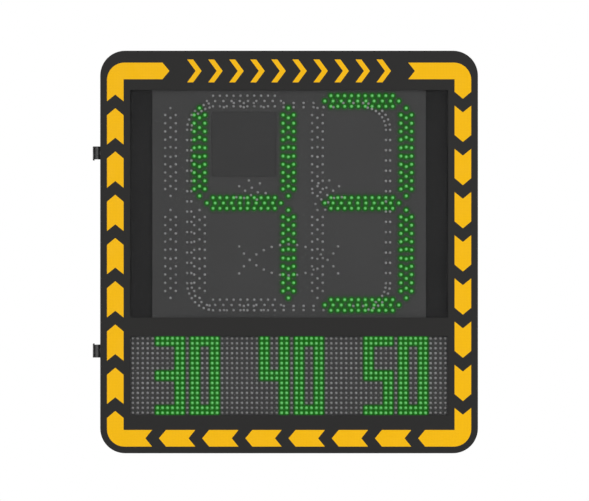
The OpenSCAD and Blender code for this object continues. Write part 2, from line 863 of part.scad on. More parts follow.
// The middle knuckle, its arm and the foot that lies on the door frame's side
module door_leaf(s) {
    color([0.5, 0.51, 0.52])
        translate([hinge_x, split_y, s * hinge_z])
            difference() {
                union() {
                    translate([0, 0, -knuckle_h / 2 + slide_gap])
                        linear_extrude(knuckle_h - 2 * slide_gap) {
                            circle(knuckle_r);
                            translate([0, -door_arm_t])
                                square([wall_dx, door_arm_t]);
                        }
                    leaf_plate(
                        wall_dx - leaf_t, foot_front - frame_d, -foot_back, -hinge_h / 2, hinge_h / 2, leaf_t
                    );
                }
                translate([0, 0, -hinge_h])
                    cylinder(d = pin_d + 2 * run_fit, h = 2 * hinge_h);
                for (e = [-1, 1])
                    translate([0, door_screw_y - split_y, e * hinge_h / 4])
                        x_rod(0, wall_dx + cut, screw_d / 2 + bolt_fit);
            }
}

module door_leaf_upper() {
    door_leaf(1);
}

module door_leaf_lower() {
    door_leaf(-1);
}

module door_leaf_screws() {
    color([0.75, 0.76, 0.77])
        for (s = [-1, 1], e = [-1, 1])
            translate([0, door_screw_y, s * hinge_z + e * hinge_h / 4]) {
                x_rod(-side_x - leaf_t - screw_head, -side_x - leaf_t, pan_share * screw_d);
                x_rod(-side_x - leaf_t, -side_x + frame_t + screw_head, screw_d / 2);
            }
}

// Equipment on the tray
spacer_x = tray_w / 2 - spacer_in;
spacer_z = tray_h / 2 - spacer_in;
tray_back = shell_back - tray_gap;
tray_front = tray_back - tray_t;

module tray_spacers() {
    color([0.78, 0.78, 0.76])
        for (sx = [-1, 1], sz = [-1, 1])
            difference() {
                y_rod(sx * spacer_x, sz * spacer_z, shell_back, tray_gap, spacer_d / 2, 6);
                y_rod(sx * spacer_x, sz * spacer_z, shell_back + cut, tray_gap + 2 * cut, spacer_hole / 2);
            }
}

module equipment_tray() {
    h = tray_h / 2;
    lip = tray_front - tray_lip;
    color([0.68, 0.7, 0.71])
        difference() {
            along_x(-tray_w / 2, tray_w)
                polygon([
                    [tray_back, -h], [tray_back, h], [lip, h], [lip, h - tray_t], [tray_front, h - tray_t],
                    [tray_front, -h + tray_t], [lip, -h + tray_t], [lip, -h]
                ]);
            for (sx = [-1, 1], sz = [-1, 1])
                y_rod(sx * spacer_x, sz * spacer_z, tray_back + cut, tray_t + 2 * cut, spacer_hole / 2);
            for (i = [-2:2])
                translate([i * tray_slot_step, 0, tray_slot_in - h])
                    front(tray_back + cut, tray_t + 2 * cut)
                        round_rect(tray_slot.x, tray_slot.y, 0.48 * tray_slot.y);
        }
}

supply_x = -tray_w / 2 + supply_in;

// Closed case with a step for its terminals and rows of air slots in its front
module power_supply() {
    w = supply_size.x;
    h = supply_size.y;
    d = supply_size.z;
    color([0.74, 0.75, 0.76])
        translate([supply_x, tray_front, supply_rise - h / 2])
            difference() {
                translate([0, -d, 0])
                    cube([w, d, h]);
                translate([w - supply_step.x, -d - cut, supply_wall])
                    cube([supply_step.x + cut, supply_step.y + cut, h - 2 * supply_wall]);
                for (i = [0:8], j = [0:3])
                    translate([air_slot_in + i * air_slot_step.x, 0, air_slot_in + j * air_slot_step.y])
                        front(-d + air_slot.z, air_slot.z + cut)
                            round_rect(air_slot.x, air_slot.y, 0.48 * air_slot.x);
            }
}

rail35_x = supply_x + supply_size.x + supply_gap;
rail35_len = tray_w / 2 - rail35_in - rail35_x;

// Top-hat equipment rail: its sunk middle lies on the tray and its brims stand off it
module din_rail() {
    h = rail35[0] / 2;
    d = rail35[1];
    t = rail35[2];
    web = rail35[3] / 2;
    color([0.8, 0.81, 0.8])
        translate([0, tray_front, rail35_z])
            along_x(rail35_x, rail35_len)
                polygon([
                    [0, -web], [0, web], [t - d, web], [t - d, h], [-d, h], [-d, web - t],
                    [-t, web - t], [-t, t - web], [-d, t - web], [-d, -h], [t - d, -h], [t - d, -web]
                ]);
}

device_y = tray_front - rail35[1];

// Stepped side of a rail-mounted device, drawn out along X
module device(x, size) {
    h = size.y / 2;
    nose = 0.28 * size.y;
    body = 0.72 * size.z;
    translate([0, device_y, rail35_z])
        along_x(x, size.x)
            polygon([
                [0, -h], [0, h], [-body, h], [-body, nose], [-size.z, nose], [-size.z, -nose],
                [-body, -nose], [-body, -h]
            ]);
}

breaker_x = rail35_x + 2 * device_gap;
arrester_x = breaker_x + breaker_size.x + device_gap;
terminal_x = arrester_x + arrester_size.x + 3 * device_gap;
terminal_step = terminal_size.x + slide_gap;

module breaker() {
    way = breaker_size.x / 2;
    h = breaker_size.y;
    d = breaker_size.z;
    color([0.85, 0.85, 0.83]) {
        device(breaker_x, breaker_size);
        for (i = [0, 1])
            translate([breaker_x + (i + 0.28) * way, device_y - 1.1 * d, rail35_z - 0.05 * h])
                cube([0.44 * way, 0.1 * d, 0.17 * h]);
    }
}

module surge_protector() {
    way = arrester_size.x / 2;
    h = arrester_size.y;
    d = arrester_size.z;
    color([0.75, 0.75, 0.73]) {
        device(arrester_x, arrester_size);
        for (i = [0, 1])
            translate([arrester_x + (i + 0.11) * way, device_y - 1.07 * d, rail35_z - 0.2 * h])
                cube([0.78 * way, 0.07 * d, 0.4 * h]);
    }
}

module terminal_blocks() {
    color([0.55, 0.57, 0.58])
        for (i = [0:terminals - 1])
            difference() {
                device(terminal_x + terminal_step * i, terminal_size);
                for (e = [-1, 1])
                    translate([
                        terminal_x + terminal_step * i + terminal_size.x / 2,
                        device_y - terminal_size.z / 2,
                        rail35_z + 0.41 * e * terminal_size.y
                    ])
                        rotate([90, 0, 0])
                            cylinder(r = 0.3 * terminal_size.x, h = terminal_size.z, $fn = 16);
            }
}

// Revolved about an axis that points backward
module turned_y(at) {
    translate([at.x, back_y, at.y])
        rotate([-90, 0, 0])
            rotate_extrude()
                children();
}

// Body with flats, and a domed cap that would squeeze a seal onto the cable
module cable_gland() {
    bore = gland_bore / 2;
    color([0.12, 0.12, 0.12]) {
        turned_y(gland_at)
            polygon([
                [bore, -8], [gland_thread_d / 2, -8], [gland_thread_d / 2, 0], [15.5, 0], [15.5, 8],
                [14.5, 8], [14.5, 16], [12, 21], [8, 23], [bore, 23]
            ]);
        difference() {
            y_rod(gland_at.x, gland_at.y, back_y + 8, 8, gland_hex / 2, 6);
            y_rod(gland_at.x, gland_at.y, back_y + 9, 10, 15);
        }
    }
}

module gland_nut() {
    color([0.15, 0.15, 0.15])
        difference() {
            y_rod(gland_at.x, gland_at.y, shell_back, 5, gland_hex / 2, 6);
            y_rod(gland_at.x, gland_at.y, shell_back + cut, 3 * cut, gland_thread_d / 2 + run_fit);
        }
}

module breather_vent() {
    color([0.12, 0.12, 0.12])
        turned_y(vent_at)
            polygon([
                [2, -12], [vent_thread_d / 2, -12], [vent_thread_d / 2, 0], [11, 0], [11, 4], [9, 8], [2, 8]
            ]);
}

// Locks: the barrel is fixed in the side wall and the plug turns in it with its hook
module lock_barrel(s) {
    color([0.78, 0.79, 0.8])
        translate([0, lock_y, s * lock_z])
            difference() {
                union() {
                    x_rod(side_x, side_x + lock_head_t, lock_head_d / 2);
                    x_rod(hook_x + hook_t + 4, side_x, lock_d / 2);
                }
                x_rod(hook_x, side_x + cut, plug_d / 2 + run_fit);
            }
}

module lock_barrel_upper() {
    lock_barrel(1);
}

module lock_barrel_lower() {
    lock_barrel(-1);
}

module lock_nuts() {
    color([0.7, 0.71, 0.72])
        for (s = [-1, 1])
            translate([0, lock_y, s * lock_z])
                difference() {
                    translate([side_x - shell_t - 4, 0, 0])
                        rotate([0, 90, 0])
                            cylinder(r = lock_d / 2 + 4.4, h = 4, $fn = 6);
                    x_rod(side_x - 20, side_x, lock_d / 2 + run_fit);
                }
}

// The hook is held between the plug's shoulder and its riveted end
module lock_plug(s) {
    color([0.7, 0.68, 0.6])
        translate([0, lock_y, s * lock_z])
            difference() {
                union() {
                    x_rod(hook_x + hook_t, side_x + lock_head_t - 0.5, plug_d / 2);
                    x_rod(hook_x - rivet_size.y, hook_x + hook_t, neck_d / 2);
                    x_rod(hook_x - rivet_size.y, hook_x, rivet_size.x / 2);
                }
                translate([side_x - cut / 2, -key_slot.x / 2, -key_slot.y / 2])
                    cube([2 * cut, key_slot.x, key_slot.y]);
            }
}

module lock_plug_upper() {
    lock_plug(1);
}

module lock_plug_lower() {
    lock_plug(-1);
}

module wedge(a0, a1) {
    polygon(concat([[0, 0]], [for (i = [0:4]) let (a = a0 + (a1 - a0) * i / 4) 60 * [cos(a), sin(a)]]));
}

// Hook with a curved slot about the lock's axis, shown turned clear of its keeper
module hook_outline() {
    slot = keeper_d / 2 + hook_play;
    difference() {
        union() {
            circle(hub_d / 2);
            intersection() {
                circle(keeper_r + slot + hook_arm);
                wedge(60, 118);
            }
        }
        circle(neck_d / 2 + run_fit);
        intersection() {
            difference() {
                circle(keeper_r + slot);
                circle(keeper_r - slot);
            }
            wedge(72, 130);
        }
    }
}

module lock_hook(s) {
    color([0.76, 0.77, 0.78])
        translate([0, lock_y, s * lock_z])
            along_x(hook_x, hook_t)
                hook_outline();
}

module lock_hook_upper() {
    lock_hook(1);
}

module lock_hook_lower() {
    lock_hook(-1);
}

// Angle brackets behind the inner plate that carry the pins which the hooks catch
module keepers() {
    color([0.7, 0.71, 0.72])
        for (s = [-1, 1])
            translate([0, 0, s * lock_z]) {
                translate([keeper_x - keeper_foot, inner_back, -keeper_h / 2])
                    cube([keeper_foot, keeper_t, keeper_h]);
                translate([keeper_x - keeper_t, inner_back, -keeper_h / 2])
                    cube([keeper_t, lock_y - keeper_r + 1.5 * keeper_d - inner_back, keeper_h]);
                translate([0, lock_y - keeper_r, 0])
                    x_rod(keeper_x - keeper_t / 2, hook_x + 2 * hook_t, keeper_d / 2);
            }
}

// Front with its films
module face_panel() {
    color([0.19, 0.185, 0.18])
        front(panel_back, face_t)
            difference() {
                round_rect(face_w, face_h, face_r);
                window(digit_win_w, digit_win_h, digit_win_z);
                window(msg_win_w, msg_win_h, message_z);
            }
}

// Arrow that points up, with its tip at the origin
module arrow() {
    w = band_w / 2;
    polygon([
        [0, 0], [-w, -arrow_point], [-w, -arrow_len], [0, -arrow_body], [w, -arrow_len], [w, -arrow_point]
    ]);
}

// Corner piece: the tail hangs down, the head points right and the centre lines cross at the origin
module corner(arms) {
    w = band_w / 2;
    difference() {
        polygon([
            [-w, -arms[0]], [-w, w], [arms[1] - arrow_point, w], [arms[1], 0], [arms[1] - arrow_point, -w],
            [w, -w], [w, -arms[0]], [0, -arms[0] + arrow_notch]
        ]);
        difference() {
            translate([-w - 5, -bend])
                square(bend + w + 5);
            translate([bend, -bend])
                circle(bend + w);
        }
    }
}

function gap(space, n) = (space - n * arrow_body) / (n + 1);

module arrow_ring() {
    left_start = row_top - corner_tl[0] + arrow_notch;
    left_gap = gap(left_start - row_bottom - corner_bl[1], column_arrows);
    right_start = row_top - corner_tr[1];
    right_gap = gap(right_start - row_bottom - corner_br[0] + arrow_notch, column_arrows);
    row_start = col_x - corner_br[1];
    row_space = gap(row_start + col_x - corner_bl[0] + arrow_notch, row_arrows);
    for (i = [0:column_arrows - 1]) {
        translate([-col_x, left_start - left_gap - i * (arrow_body + left_gap)])
            arrow();
        translate([col_x, right_start - (i + 1) * (arrow_body + right_gap)])
            rotate(180)
                arrow();
    }
    for (i = [0:row_arrows - 1])
        translate([row_start - (i + 1) * (arrow_body + row_space), row_bottom])
            rotate(90)
                arrow();
    translate([-col_x, row_top])
        corner(corner_tl);
    translate([col_x, row_top])
        rotate(-90)
            corner(corner_tr);
    translate([col_x, row_bottom])
        rotate(180)
            corner(corner_br);
    translate([-col_x, row_bottom])
        rotate(90)
            corner(corner_bl);
}

module arrow_film() {
    color([0.96, 0.73, 0.15])
        front(panel_front, film_t)
            arrow_ring();
}

module header_film() {
    h = header_h / 2;
    header_w = 2 * (col_x - max(corner_tl[1], corner_tr[0]) - header_gap);
    color([0.96, 0.73, 0.15])
        front(panel_front, film_t)
            for (x = spread((header_w - chevron_stroke - chevron_point) / 2, chevrons))
                translate([x - (chevron_stroke + chevron_point) / 2, row_top])
                    polygon([
                        [0, h], [chevron_stroke, h], [chevron_stroke + chevron_point, 0],
                        [chevron_stroke, -h], [0, -h], [chevron_point, 0]
                    ]);
}

// Channel that opens inward, bent round behind the face
module door_frame() {
    color([0.21, 0.21, 0.21])
        difference() {
            union() {
                front(split_y, frame_d)
                    ring(shell_w, shell_h, shell_r, frame_t);
                front(split_y, frame_t)
                    ring(shell_w, shell_h, shell_r, rear_flange);
                front(panel_back + frame_t, frame_t)
                    ring(shell_w, shell_h, shell_r, front_flange);
            }
            for (s = [-1, 1], e = [-1, 1])
                translate([0, door_screw_y, s * hinge_z + e * hinge_h / 4])
                    x_rod(-side_x - cut, -side_x + cut, screw_d / 2 + bolt_fit);
        }
}

// Channel between the windows: its web is in front and its legs stand on the inner plate
module crossbar() {
    h = crossbar_h / 2;
    color([0.25, 0.25, 0.25])
        translate([0, 0, land_z])
            along_x(-side_x + frame_t, shell_w - 2 * frame_t)
                polygon([
                    [inner_front, -h], [clamp_back, -h], [clamp_back, h], [inner_front, h],
                    [inner_front, h - 2], [clamp_back + 2, h - 2], [clamp_back + 2, -h + 2],
                    [inner_front, -h + 2]
                ]);
}

// Pane and clamp reach as far as the land between the windows lets them
module digit_pane() {
    color([0.75, 0.78, 0.8, 0.3])
        front(pane_back, pane_t)
            window(digit_win_w, digit_win_h, digit_win_z, pane_step);
}

module message_pane() {
    color([0.75, 0.78, 0.8, 0.3])
        front(pane_back, pane_t)
            window(msg_win_w, msg_win_h, message_z, pane_step);
}

module digit_pane_clamp() {
    color([0.15, 0.15, 0.15])
        front(clamp_back, clamp_t)
            difference() {
                window(digit_win_w, digit_win_h, digit_win_z, pane_step);
                window(digit_win_w, digit_win_h, digit_win_z, pane_step - clamp_w);
            }
}

module message_pane_clamp() {
    color([0.15, 0.15, 0.15])
        front(clamp_back, clamp_t)
            difference() {
                window(msg_win_w, msg_win_h, message_z, pane_step);
                window(msg_win_w, msg_win_h, message_z, pane_step - clamp_w);
            }
}

// Dark plate that lies on the frame's rear flange and carries the boards
module inner_plate() {
    inset = frame_t + plate_gap;
    color([0.1, 0.1, 0.1])
        front(inner_back, inner_t)
            difference() {
                round_rect(shell_w - 2 * inset, shell_h - 2 * inset, shell_r - inset);
                translate([radar_x, radar_z])
                    square(radar_win, center = true);
                translate([0, message_z])
                    square([2 * (module_w + opening_gap), module_h + 2 * opening_gap], center = true);
            }
}

board_low = digit_win_z - digit_win_h / 2 - board_lap;
board_h = digit_win_h + 2 * board_lap;

module board_places() {
    x = board_w / 2 - standoff_in;
    for (x = [-x, tens_x + digit_w / 4, x], k = [standoff_share, 0.5, 1 - standoff_share])
        translate([x, 0, board_low + k * board_h])
            children();
}

module board_standoffs() {
    color([0.78, 0.76, 0.6])
        board_places()
            y_rod(0, 0, inner_front, board_standoff, standoff_d / 2);
}

module digit_board() {
    color([0.27, 0.27, 0.27])
        front(board_back, board_t)
            difference() {
                translate([-board_w / 2, board_low])
                    square([board_w, board_h]);
                translate([radar_x, radar_z])
                    square(radar_win, center = true);
            }
}

module lamps(points, d) {
    for (p = points)
        y_rod(p.x, p.y, board_front - lamp_seat, lamp_h, d / 2, 24);
}

module digit_lamps_lit() {
    color([0.45, 0.9, 0.5])
        lamps(concat(
            figure_lamps(shown_tens, tens_x, true),
            figure_lamps(shown_units, units_x, true)
        ), lamp_d);
}

module digit_lamps_unlit() {
    color([0.5, 0.5, 0.5])
        lamps(concat(
            leading_lamps,
            figure_lamps(shown_tens, tens_x, false),
            figure_lamps(shown_units, units_x, false)
        ), lamp_d);
}

module face_lamps() {
    others = concat(
        leading_lamps,
        figure_lamps(8, tens_x, true),
        figure_lamps(8, units_x, true)
    );
    color([0.5, 0.5, 0.5])
        lamps(clear_of(smile_lamps(), others), lamp_d);
}

radar_front = board_front + radar_sink;

module radar_cover() {
    w = radar_win - 2 * radar_gap;
    color([0.24, 0.24, 0.24])
        translate([radar_x, 0, radar_z])
            front(radar_front + radome_t, radome_t)
                square(w, center = true);
}

// Case with a flange that bears on the back of the inner plate, and cooling ribs
module radar_case() {
    w = radar_win - 2 * radar_gap - 2 * radar_play;
    y = radar_front + radome_t + radar_depth - radar_rib.y;
    color([0.55, 0.56, 0.57])
        translate([radar_x, 0, radar_z]) {
            front(y, radar_depth - radar_rib.y)
                square(w, center = true);
            front(inner_back + flange_t, flange_t)
                square(radar_win + 2 * radar_flange, center = true);
            for (i = [-5:5])
                translate([i * w / 12 - radar_rib.x / 2, y, -w / 2])
                    cube([radar_rib.x, radar_rib.y, w]);
        }
}

// Front plate with a skirt, cross ribs and screw posts behind it
module message_modules() {
    w = module_w - slide_gap;
    rib = module_depth - pcb_t;
    color([0.27, 0.27, 0.27])
        for (s = [-1, 1])
            translate([s * module_w / 2, 0, message_z]) {
                front(board_front + module_rib, module_rib)
                    square([w, module_h], center = true);
                front(inner_back, module_depth)
                    difference() {
                        square([w, module_h], center = true);
                        square([w - 2 * module_wall, module_h - 2 * module_wall], center = true);
                    }
                for (i = [-1:1])
                    translate([i * w / 4 - module_rib / 2, board_front, -module_h / 2])
                        cube([module_rib, rib, module_h]);
                translate([-w / 2, board_front, -module_rib / 2])
                    cube([w, rib, module_rib]);
                for (sx = [-1, 1], sz = [-1, 1])
                    y_rod(sx * (module_w / 2 - post_in), sz * bar_off, inner_back, module_depth, post_r);
            }
}

// Circuit boards that close the modules' backs: they rest on the ribs, and the posts pass through them
module module_boards() {
    inset = 2 * module_wall + 2 * pcb_gap;
    color([0.1, 0.32, 0.2])
        front(inner_back, pcb_t)
            for (s = [-1, 1])
                translate([s * module_w / 2, message_z])
                    difference() {
                        square([module_w - inset, module_h - inset], center = true);
                        for (sx = [-1, 1], sz = [-1, 1])
                            translate([sx * (module_w / 2 - post_in), sz * bar_off])
                                circle(post_r + pcb_gap);
                    }
}

// A wide socket for data and a narrow one for power on each circuit board, below the upper bar
module board_sockets() {
    top = message_z + bar_off - bar_h / 2 - socket_size.y;
    color([0.1, 0.1, 0.1])
        for (s = [-1, 1], k = [0, 1])
            translate([s * module_w / 2 + (2 * k - 0.5) * socket_size.x, inner_back, top - socket_size.y])
                difference() {
                    cube([socket_size.x * (1 - k / 2), socket_size.z, socket_size.y]);
                    translate([2, 1.5, 2])
                        cube([socket_size.x * (1 - k / 2) - 4, socket_size.z, socket_size.y - 4]);
                }
}

module message_lamps_lit() {
    color([0.45, 0.9, 0.5])
        lamps(message_lamps(true), dot_d);
}

module message_lamps_unlit() {
    color([0.5, 0.5, 0.5])
        lamps(message_lamps(false), dot_d);
}

// Flat bars that hold the modules' backs against the inner plate's opening
module message_bars() {
    color([0.7, 0.71, 0.72])
        for (s = [-1, 1])
            translate([-side_x + 22, inner_back, message_z + s * bar_off - bar_h / 2])
                cube([shell_w - 44, bar_t, bar_h]);
}

controller_at = [
    radar_x + radar_win / 2 + radar_flange + controller_size.x / 2 + controller_gap,
    digit_win_top - controller_size.y / 2 - controller_fall
];

module controller_case() {
    w = controller_size.x;
    h = controller_size.y;
    color([0.3, 0.31, 0.32])
        translate([controller_at.x, 0, controller_at.y]) {
            front(inner_back + controller_size.z - lid_t, controller_size.z - lid_t)
                round_rect(w, h, controller_r);
            front(inner_back + flange_t, flange_t)
                difference() {
                    round_rect(w + 2 * ear_w, 0.7 * h, controller_r);
                    for (s = [-1, 1])
                        translate([s * (w + ear_w) / 2, 0])
                            circle(ear_hole / 2);
                }
        }
}

module controller_lid() {
    w = controller_size.x;
    h = controller_size.y;
    y = inner_back + controller_size.z;
    color([0.36, 0.37, 0.38])
        translate([controller_at.x, 0, controller_at.y])
            difference() {
                union() {
                    front(y, lid_t)
                        round_rect(w, h, controller_r);
                    for (i = [-3:3])
                        translate([i * w / 10 - lid_rib.x / 2, y, 2 * lid_screw_in - h / 2])
                            cube([lid_rib.x, lid_rib.y, h - 4 * lid_screw_in]);
                }
                x = w / 2 - lid_screw_in;
                z = h / 2 - lid_screw_in;
                for (sx = [-1, 1], sz = [-1, 1])
                    y_rod(sx * x, sz * z, y + cut, lid_t / 2 + cut, 4);
            }
}

side_band();
back_plate();
backing_strips();
upper_rail();
lower_rail();
rail_bolts();
rail_nuts();
door_gasket();
hinge_leaf_upper();
hinge_leaf_lower();
hinge_pins();
hinge_screws();
hinge_nuts();
tray_spacers();
equipment_tray();
power_supply();
din_rail();
breaker();
surge_protector();
terminal_blocks();
cable_gland();
gland_nut();
breather_vent();
lock_barrel_upper();
lock_barrel_lower();
lock_nuts();
lock_plug_upper();
lock_plug_lower();
lock_hook_upper();
lock_hook_lower();
face_panel();
arrow_film();
header_film();
door_frame();
crossbar();
digit_pane();
message_pane();
digit_pane_clamp();
message_pane_clamp();
inner_plate();
board_standoffs();
digit_board();
digit_lamps_lit();
digit_lamps_unlit();
face_lamps();
radar_cover();
radar_case();
message_modules();
module_boards();
board_sockets();
message_lamps_lit();
message_lamps_unlit();
message_bars();
controller_case();
controller_lid();
keepers();
door_leaf_upper();
door_leaf_lower();
door_leaf_screws();
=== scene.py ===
import math

import bmesh
import bpy
import numpy as np
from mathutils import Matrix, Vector


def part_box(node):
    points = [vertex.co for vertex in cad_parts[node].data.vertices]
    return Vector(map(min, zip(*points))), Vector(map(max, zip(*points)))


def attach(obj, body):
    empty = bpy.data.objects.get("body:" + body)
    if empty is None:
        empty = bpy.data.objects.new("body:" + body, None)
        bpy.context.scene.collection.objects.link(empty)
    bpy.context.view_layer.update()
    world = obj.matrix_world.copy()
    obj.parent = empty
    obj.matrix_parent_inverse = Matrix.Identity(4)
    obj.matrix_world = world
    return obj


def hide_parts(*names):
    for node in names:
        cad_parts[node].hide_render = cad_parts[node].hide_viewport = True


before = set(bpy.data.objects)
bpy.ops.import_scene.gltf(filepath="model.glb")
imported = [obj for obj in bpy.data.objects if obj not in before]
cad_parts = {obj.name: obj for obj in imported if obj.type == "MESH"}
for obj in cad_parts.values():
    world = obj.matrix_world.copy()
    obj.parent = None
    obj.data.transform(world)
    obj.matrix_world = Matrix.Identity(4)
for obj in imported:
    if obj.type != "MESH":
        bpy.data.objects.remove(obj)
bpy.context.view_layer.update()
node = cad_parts

# Camera: straight in front, a centimetre to the right of the middle of the face.
# A long lens eight metres away keeps the housing hidden behind the face.
# Its scale is the one that the even pitch of the message lamps gives, at their depth.
picture_px = 589
lamp_mm_per_px = 2.014
sensor_width = 36.0
camera_away = 8.0
camera_x = 0.0109
camera_z = 0.003
face_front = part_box("face_panel")[0].y
lamps_away = camera_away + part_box("message_lamps_lit")[0].y - face_front


def set_out(name, data):
    """A new object that holds the data, at the origin of the scene."""
    made = bpy.data.objects.new(name, data)
    bpy.context.scene.collection.objects.link(made)
    return made


camera_data = bpy.data.cameras.new("camera")
camera_data.sensor_width = sensor_width
camera_data.lens = sensor_width * lamps_away / (picture_px * lamp_mm_per_px / 1000)
camera_data.clip_end = 60.0
camera = set_out("camera", camera_data)
camera.location = (camera_x, face_front - camera_away, camera_z)
camera.rotation_euler = (math.pi / 2, 0, 0)
bpy.context.scene.camera = camera
bpy.context.scene.view_settings.view_transform = "Standard"


# Studio: a pale floor below the sign, a white room round it, two soft lamps in front and one behind.
# The camera, metal and clear panes see plain white, and the floor keeps the sign's shadow.
def add(tree, kind, **values):
    made = tree.nodes.new(kind)
    for key, value in values.items():
        setattr(made, key, value)
    return made


def new_material(name):
    material = bpy.data.materials.new(name)
    material.use_nodes = True
    tree = material.node_tree
    shader = next(n for n in tree.nodes if n.type == "BSDF_PRINCIPLED")
    return material, tree, shader


def soft_lamp(name, place, size, watts):
    """A rectangular lamp that faces the middle of the sign."""
    data = bpy.data.lights.new(name, "AREA")
    data.shape = "RECTANGLE"
    data.size, data.size_y = size
    data.energy = watts
    lamp = set_out(name, data)
    lamp.location = place
    lamp.rotation_euler = (-Vector(place)).to_track_quat("-Z", "Y").to_euler()


def seen_directly(tree):
    """1 on rays that come from the camera, a mirror or a clear pane, and 0 on the rest."""
    paths = add(tree, "ShaderNodeLightPath")
    total = paths.outputs["Is Camera Ray"]
    for name in ("Is Glossy Ray", "Is Transmission Ray"):
        either = add(tree, "ShaderNodeMath", operation="MAXIMUM")
        tree.links.new(total, either.inputs[0])
        tree.links.new(paths.outputs[name], either.inputs[1])
        total = either.outputs[0]
    return total


room_light = 0.45
world = bpy.data.worlds.new("room")
bpy.context.scene.world = world
world.use_nodes = True
room = world.node_tree
background = room.nodes["Background"]
background.inputs["Color"].default_value = (1, 1, 1, 1)
level = add(room, "ShaderNodeMapRange")
level.inputs["To Min"].default_value = room_light
level.inputs["To Max"].default_value = 1.0
room.links.new(seen_directly(room), level.inputs["Value"])
room.links.new(level.outputs["Result"], background.inputs["Strength"])

floor_z = -0.62
floor_r = 1.66
floor_sides = 64
fade_start = 0.45
fade_end = 1.6
rim = []
for k in range(floor_sides):
    a = math.tau * k / floor_sides
    rim.append((floor_r * math.cos(a), floor_r * math.sin(a), floor_z))
floor_mesh = bpy.data.meshes.new("floor")
floor_mesh.from_pydata(rim, [], [tuple(range(floor_sides))])
floor = set_out("floor", floor_mesh)
floor_paint, tree, shader = new_material("floor_paint")
shader.inputs["Base Color"].default_value = (0.95, 0.95, 0.95, 1)
shader.inputs["Roughness"].default_value = 0.9
place = add(tree, "ShaderNodeTexCoord")
reach = add(tree, "ShaderNodeVectorMath", operation="LENGTH")
tree.links.new(place.outputs["Object"], reach.inputs[0])
fade = add(tree, "ShaderNodeMapRange", interpolation_type="SMOOTHSTEP")
fade.inputs["From Min"].default_value = fade_start
fade.inputs["From Max"].default_value = fade_end
tree.links.new(reach.outputs["Value"], fade.inputs["Value"])
share = add(tree, "ShaderNodeMath", operation="MULTIPLY")
tree.links.new(fade.outputs["Result"], share.inputs[0])
tree.links.new(seen_directly(tree), share.inputs[1])
white = add(tree, "ShaderNodeEmission")
both = add(tree, "ShaderNodeMixShader")
tree.links.new(share.outputs[0], both.inputs["Fac"])
tree.links.new(shader.outputs[0], both.inputs[1])
tree.links.new(white.outputs[0], both.inputs[2])
surface = next(n for n in tree.nodes if n.type == "OUTPUT_MATERIAL").inputs["Surface"]
tree.links.new(both.outputs[0], surface)
floor_mesh.materials.append(floor_paint)

soft_lamp("front_lamp", (-0.25, -4.8, 0.3), (1.8, 1.8), 73)
soft_lamp("side_lamp", (1.9, -3.7, 1.3), (2.4, 2.4), 24)
soft_lamp("back_lamp", (0.9, 3.0, 1.6), (2.0, 1.6), 40)


# Side band, door frame and crossbar: aluminium sheet bent and welded, with a dark grey powder coat.
# The coat is finely pebbled, and its grey wanders a little from place to place.
def noise(tree, scale, detail=3.0, stretch=(1, 1, 1)):
    place = add(tree, "ShaderNodeTexCoord")
    mapping = add(tree, "ShaderNodeMapping")
    mapping.inputs["Scale"].default_value = stretch
    grain = add(tree, "ShaderNodeTexNoise")
    grain.inputs["Scale"].default_value = scale
    grain.inputs["Detail"].default_value = detail
    tree.links.new(place.outputs["Object"], mapping.inputs["Vector"])
    tree.links.new(mapping.outputs["Vector"], grain.inputs["Vector"])
    return grain.outputs["Fac"]


def ramp(tree, value, low, high, start=0.35, end=0.65):
    shades = add(tree, "ShaderNodeValToRGB")
    shades.color_ramp.elements[0].position = start
    shades.color_ramp.elements[1].position = end
    shades.color_ramp.elements[0].color = (*low, 1)
    shades.color_ramp.elements[1].color = (*high, 1)
    tree.links.new(value, shades.inputs["Fac"])
    return shades.outputs["Color"]


def spread(tree, value, low, high):
    scaled = add(tree, "ShaderNodeMapRange")
    scaled.inputs["From Min"].default_value = 0.3
    scaled.inputs["From Max"].default_value = 0.7
    scaled.inputs["To Min"].default_value = low
    scaled.inputs["To Max"].default_value = high
    tree.links.new(value, scaled.inputs["Value"])
    return scaled.outputs["Result"]


def bump(tree, shader, value, strength, depth):
    relief = add(tree, "ShaderNodeBump")
    relief.inputs["Strength"].default_value = strength
    relief.inputs["Distance"].default_value = depth
    tree.links.new(value, relief.inputs["Height"])
    tree.links.new(relief.outputs["Normal"], shader.inputs["Normal"])


def shade(colour, factor):
    return tuple(min(1.0, c * factor) for c in colour)


grain_depth = 0.0004


def finish(name, colour, rough, mottle=6.0, change=0.12, grain=900.0, relief=0.12, metal=0.0,
           stretch=(1, 1, 1), rough_change=0.08, gloss=0.5):
    """A broad mottle in the colour, and a fine grain in the relief and the gloss."""
    material, tree, shader = new_material(name)
    broad = noise(tree, mottle, 4.0)
    fine = noise(tree, grain, 2.0, stretch)
    tint = ramp(tree, broad, shade(colour, 1 - change), shade(colour, 1 + change))
    dull = spread(tree, fine, rough - rough_change, rough + rough_change)
    tree.links.new(tint, shader.inputs["Base Color"])
    tree.links.new(dull, shader.inputs["Roughness"])
    shader.inputs["Metallic"].default_value = metal
    shader.inputs["Specular IOR Level"].default_value = gloss
    bump(tree, shader, fine, relief, grain_depth)
    return material


def dress(material, *names):
    for name in names:
        materials = node[name].data.materials
        materials.clear()
        materials.append(material)


powder_coat = finish("dark_powder_coat", (0.024, 0.0235, 0.023), 0.5, change=0.1, grain=1500.0,
                     relief=0.25, gloss=0.35)
dress(powder_coat, "side_band", "door_frame", "crossbar")


# Back plate: flat aluminium sheet, powder-coated a shade paler and riveted to the band's rear flange.
# Dome-headed rivets stand at even steps round its edge.
back_coat = finish("back_powder_coat", (0.03, 0.0295, 0.029), 0.55, mottle=3.0, change=0.14,
                   grain=1300.0, relief=0.25)
dress(back_coat, "back_plate")


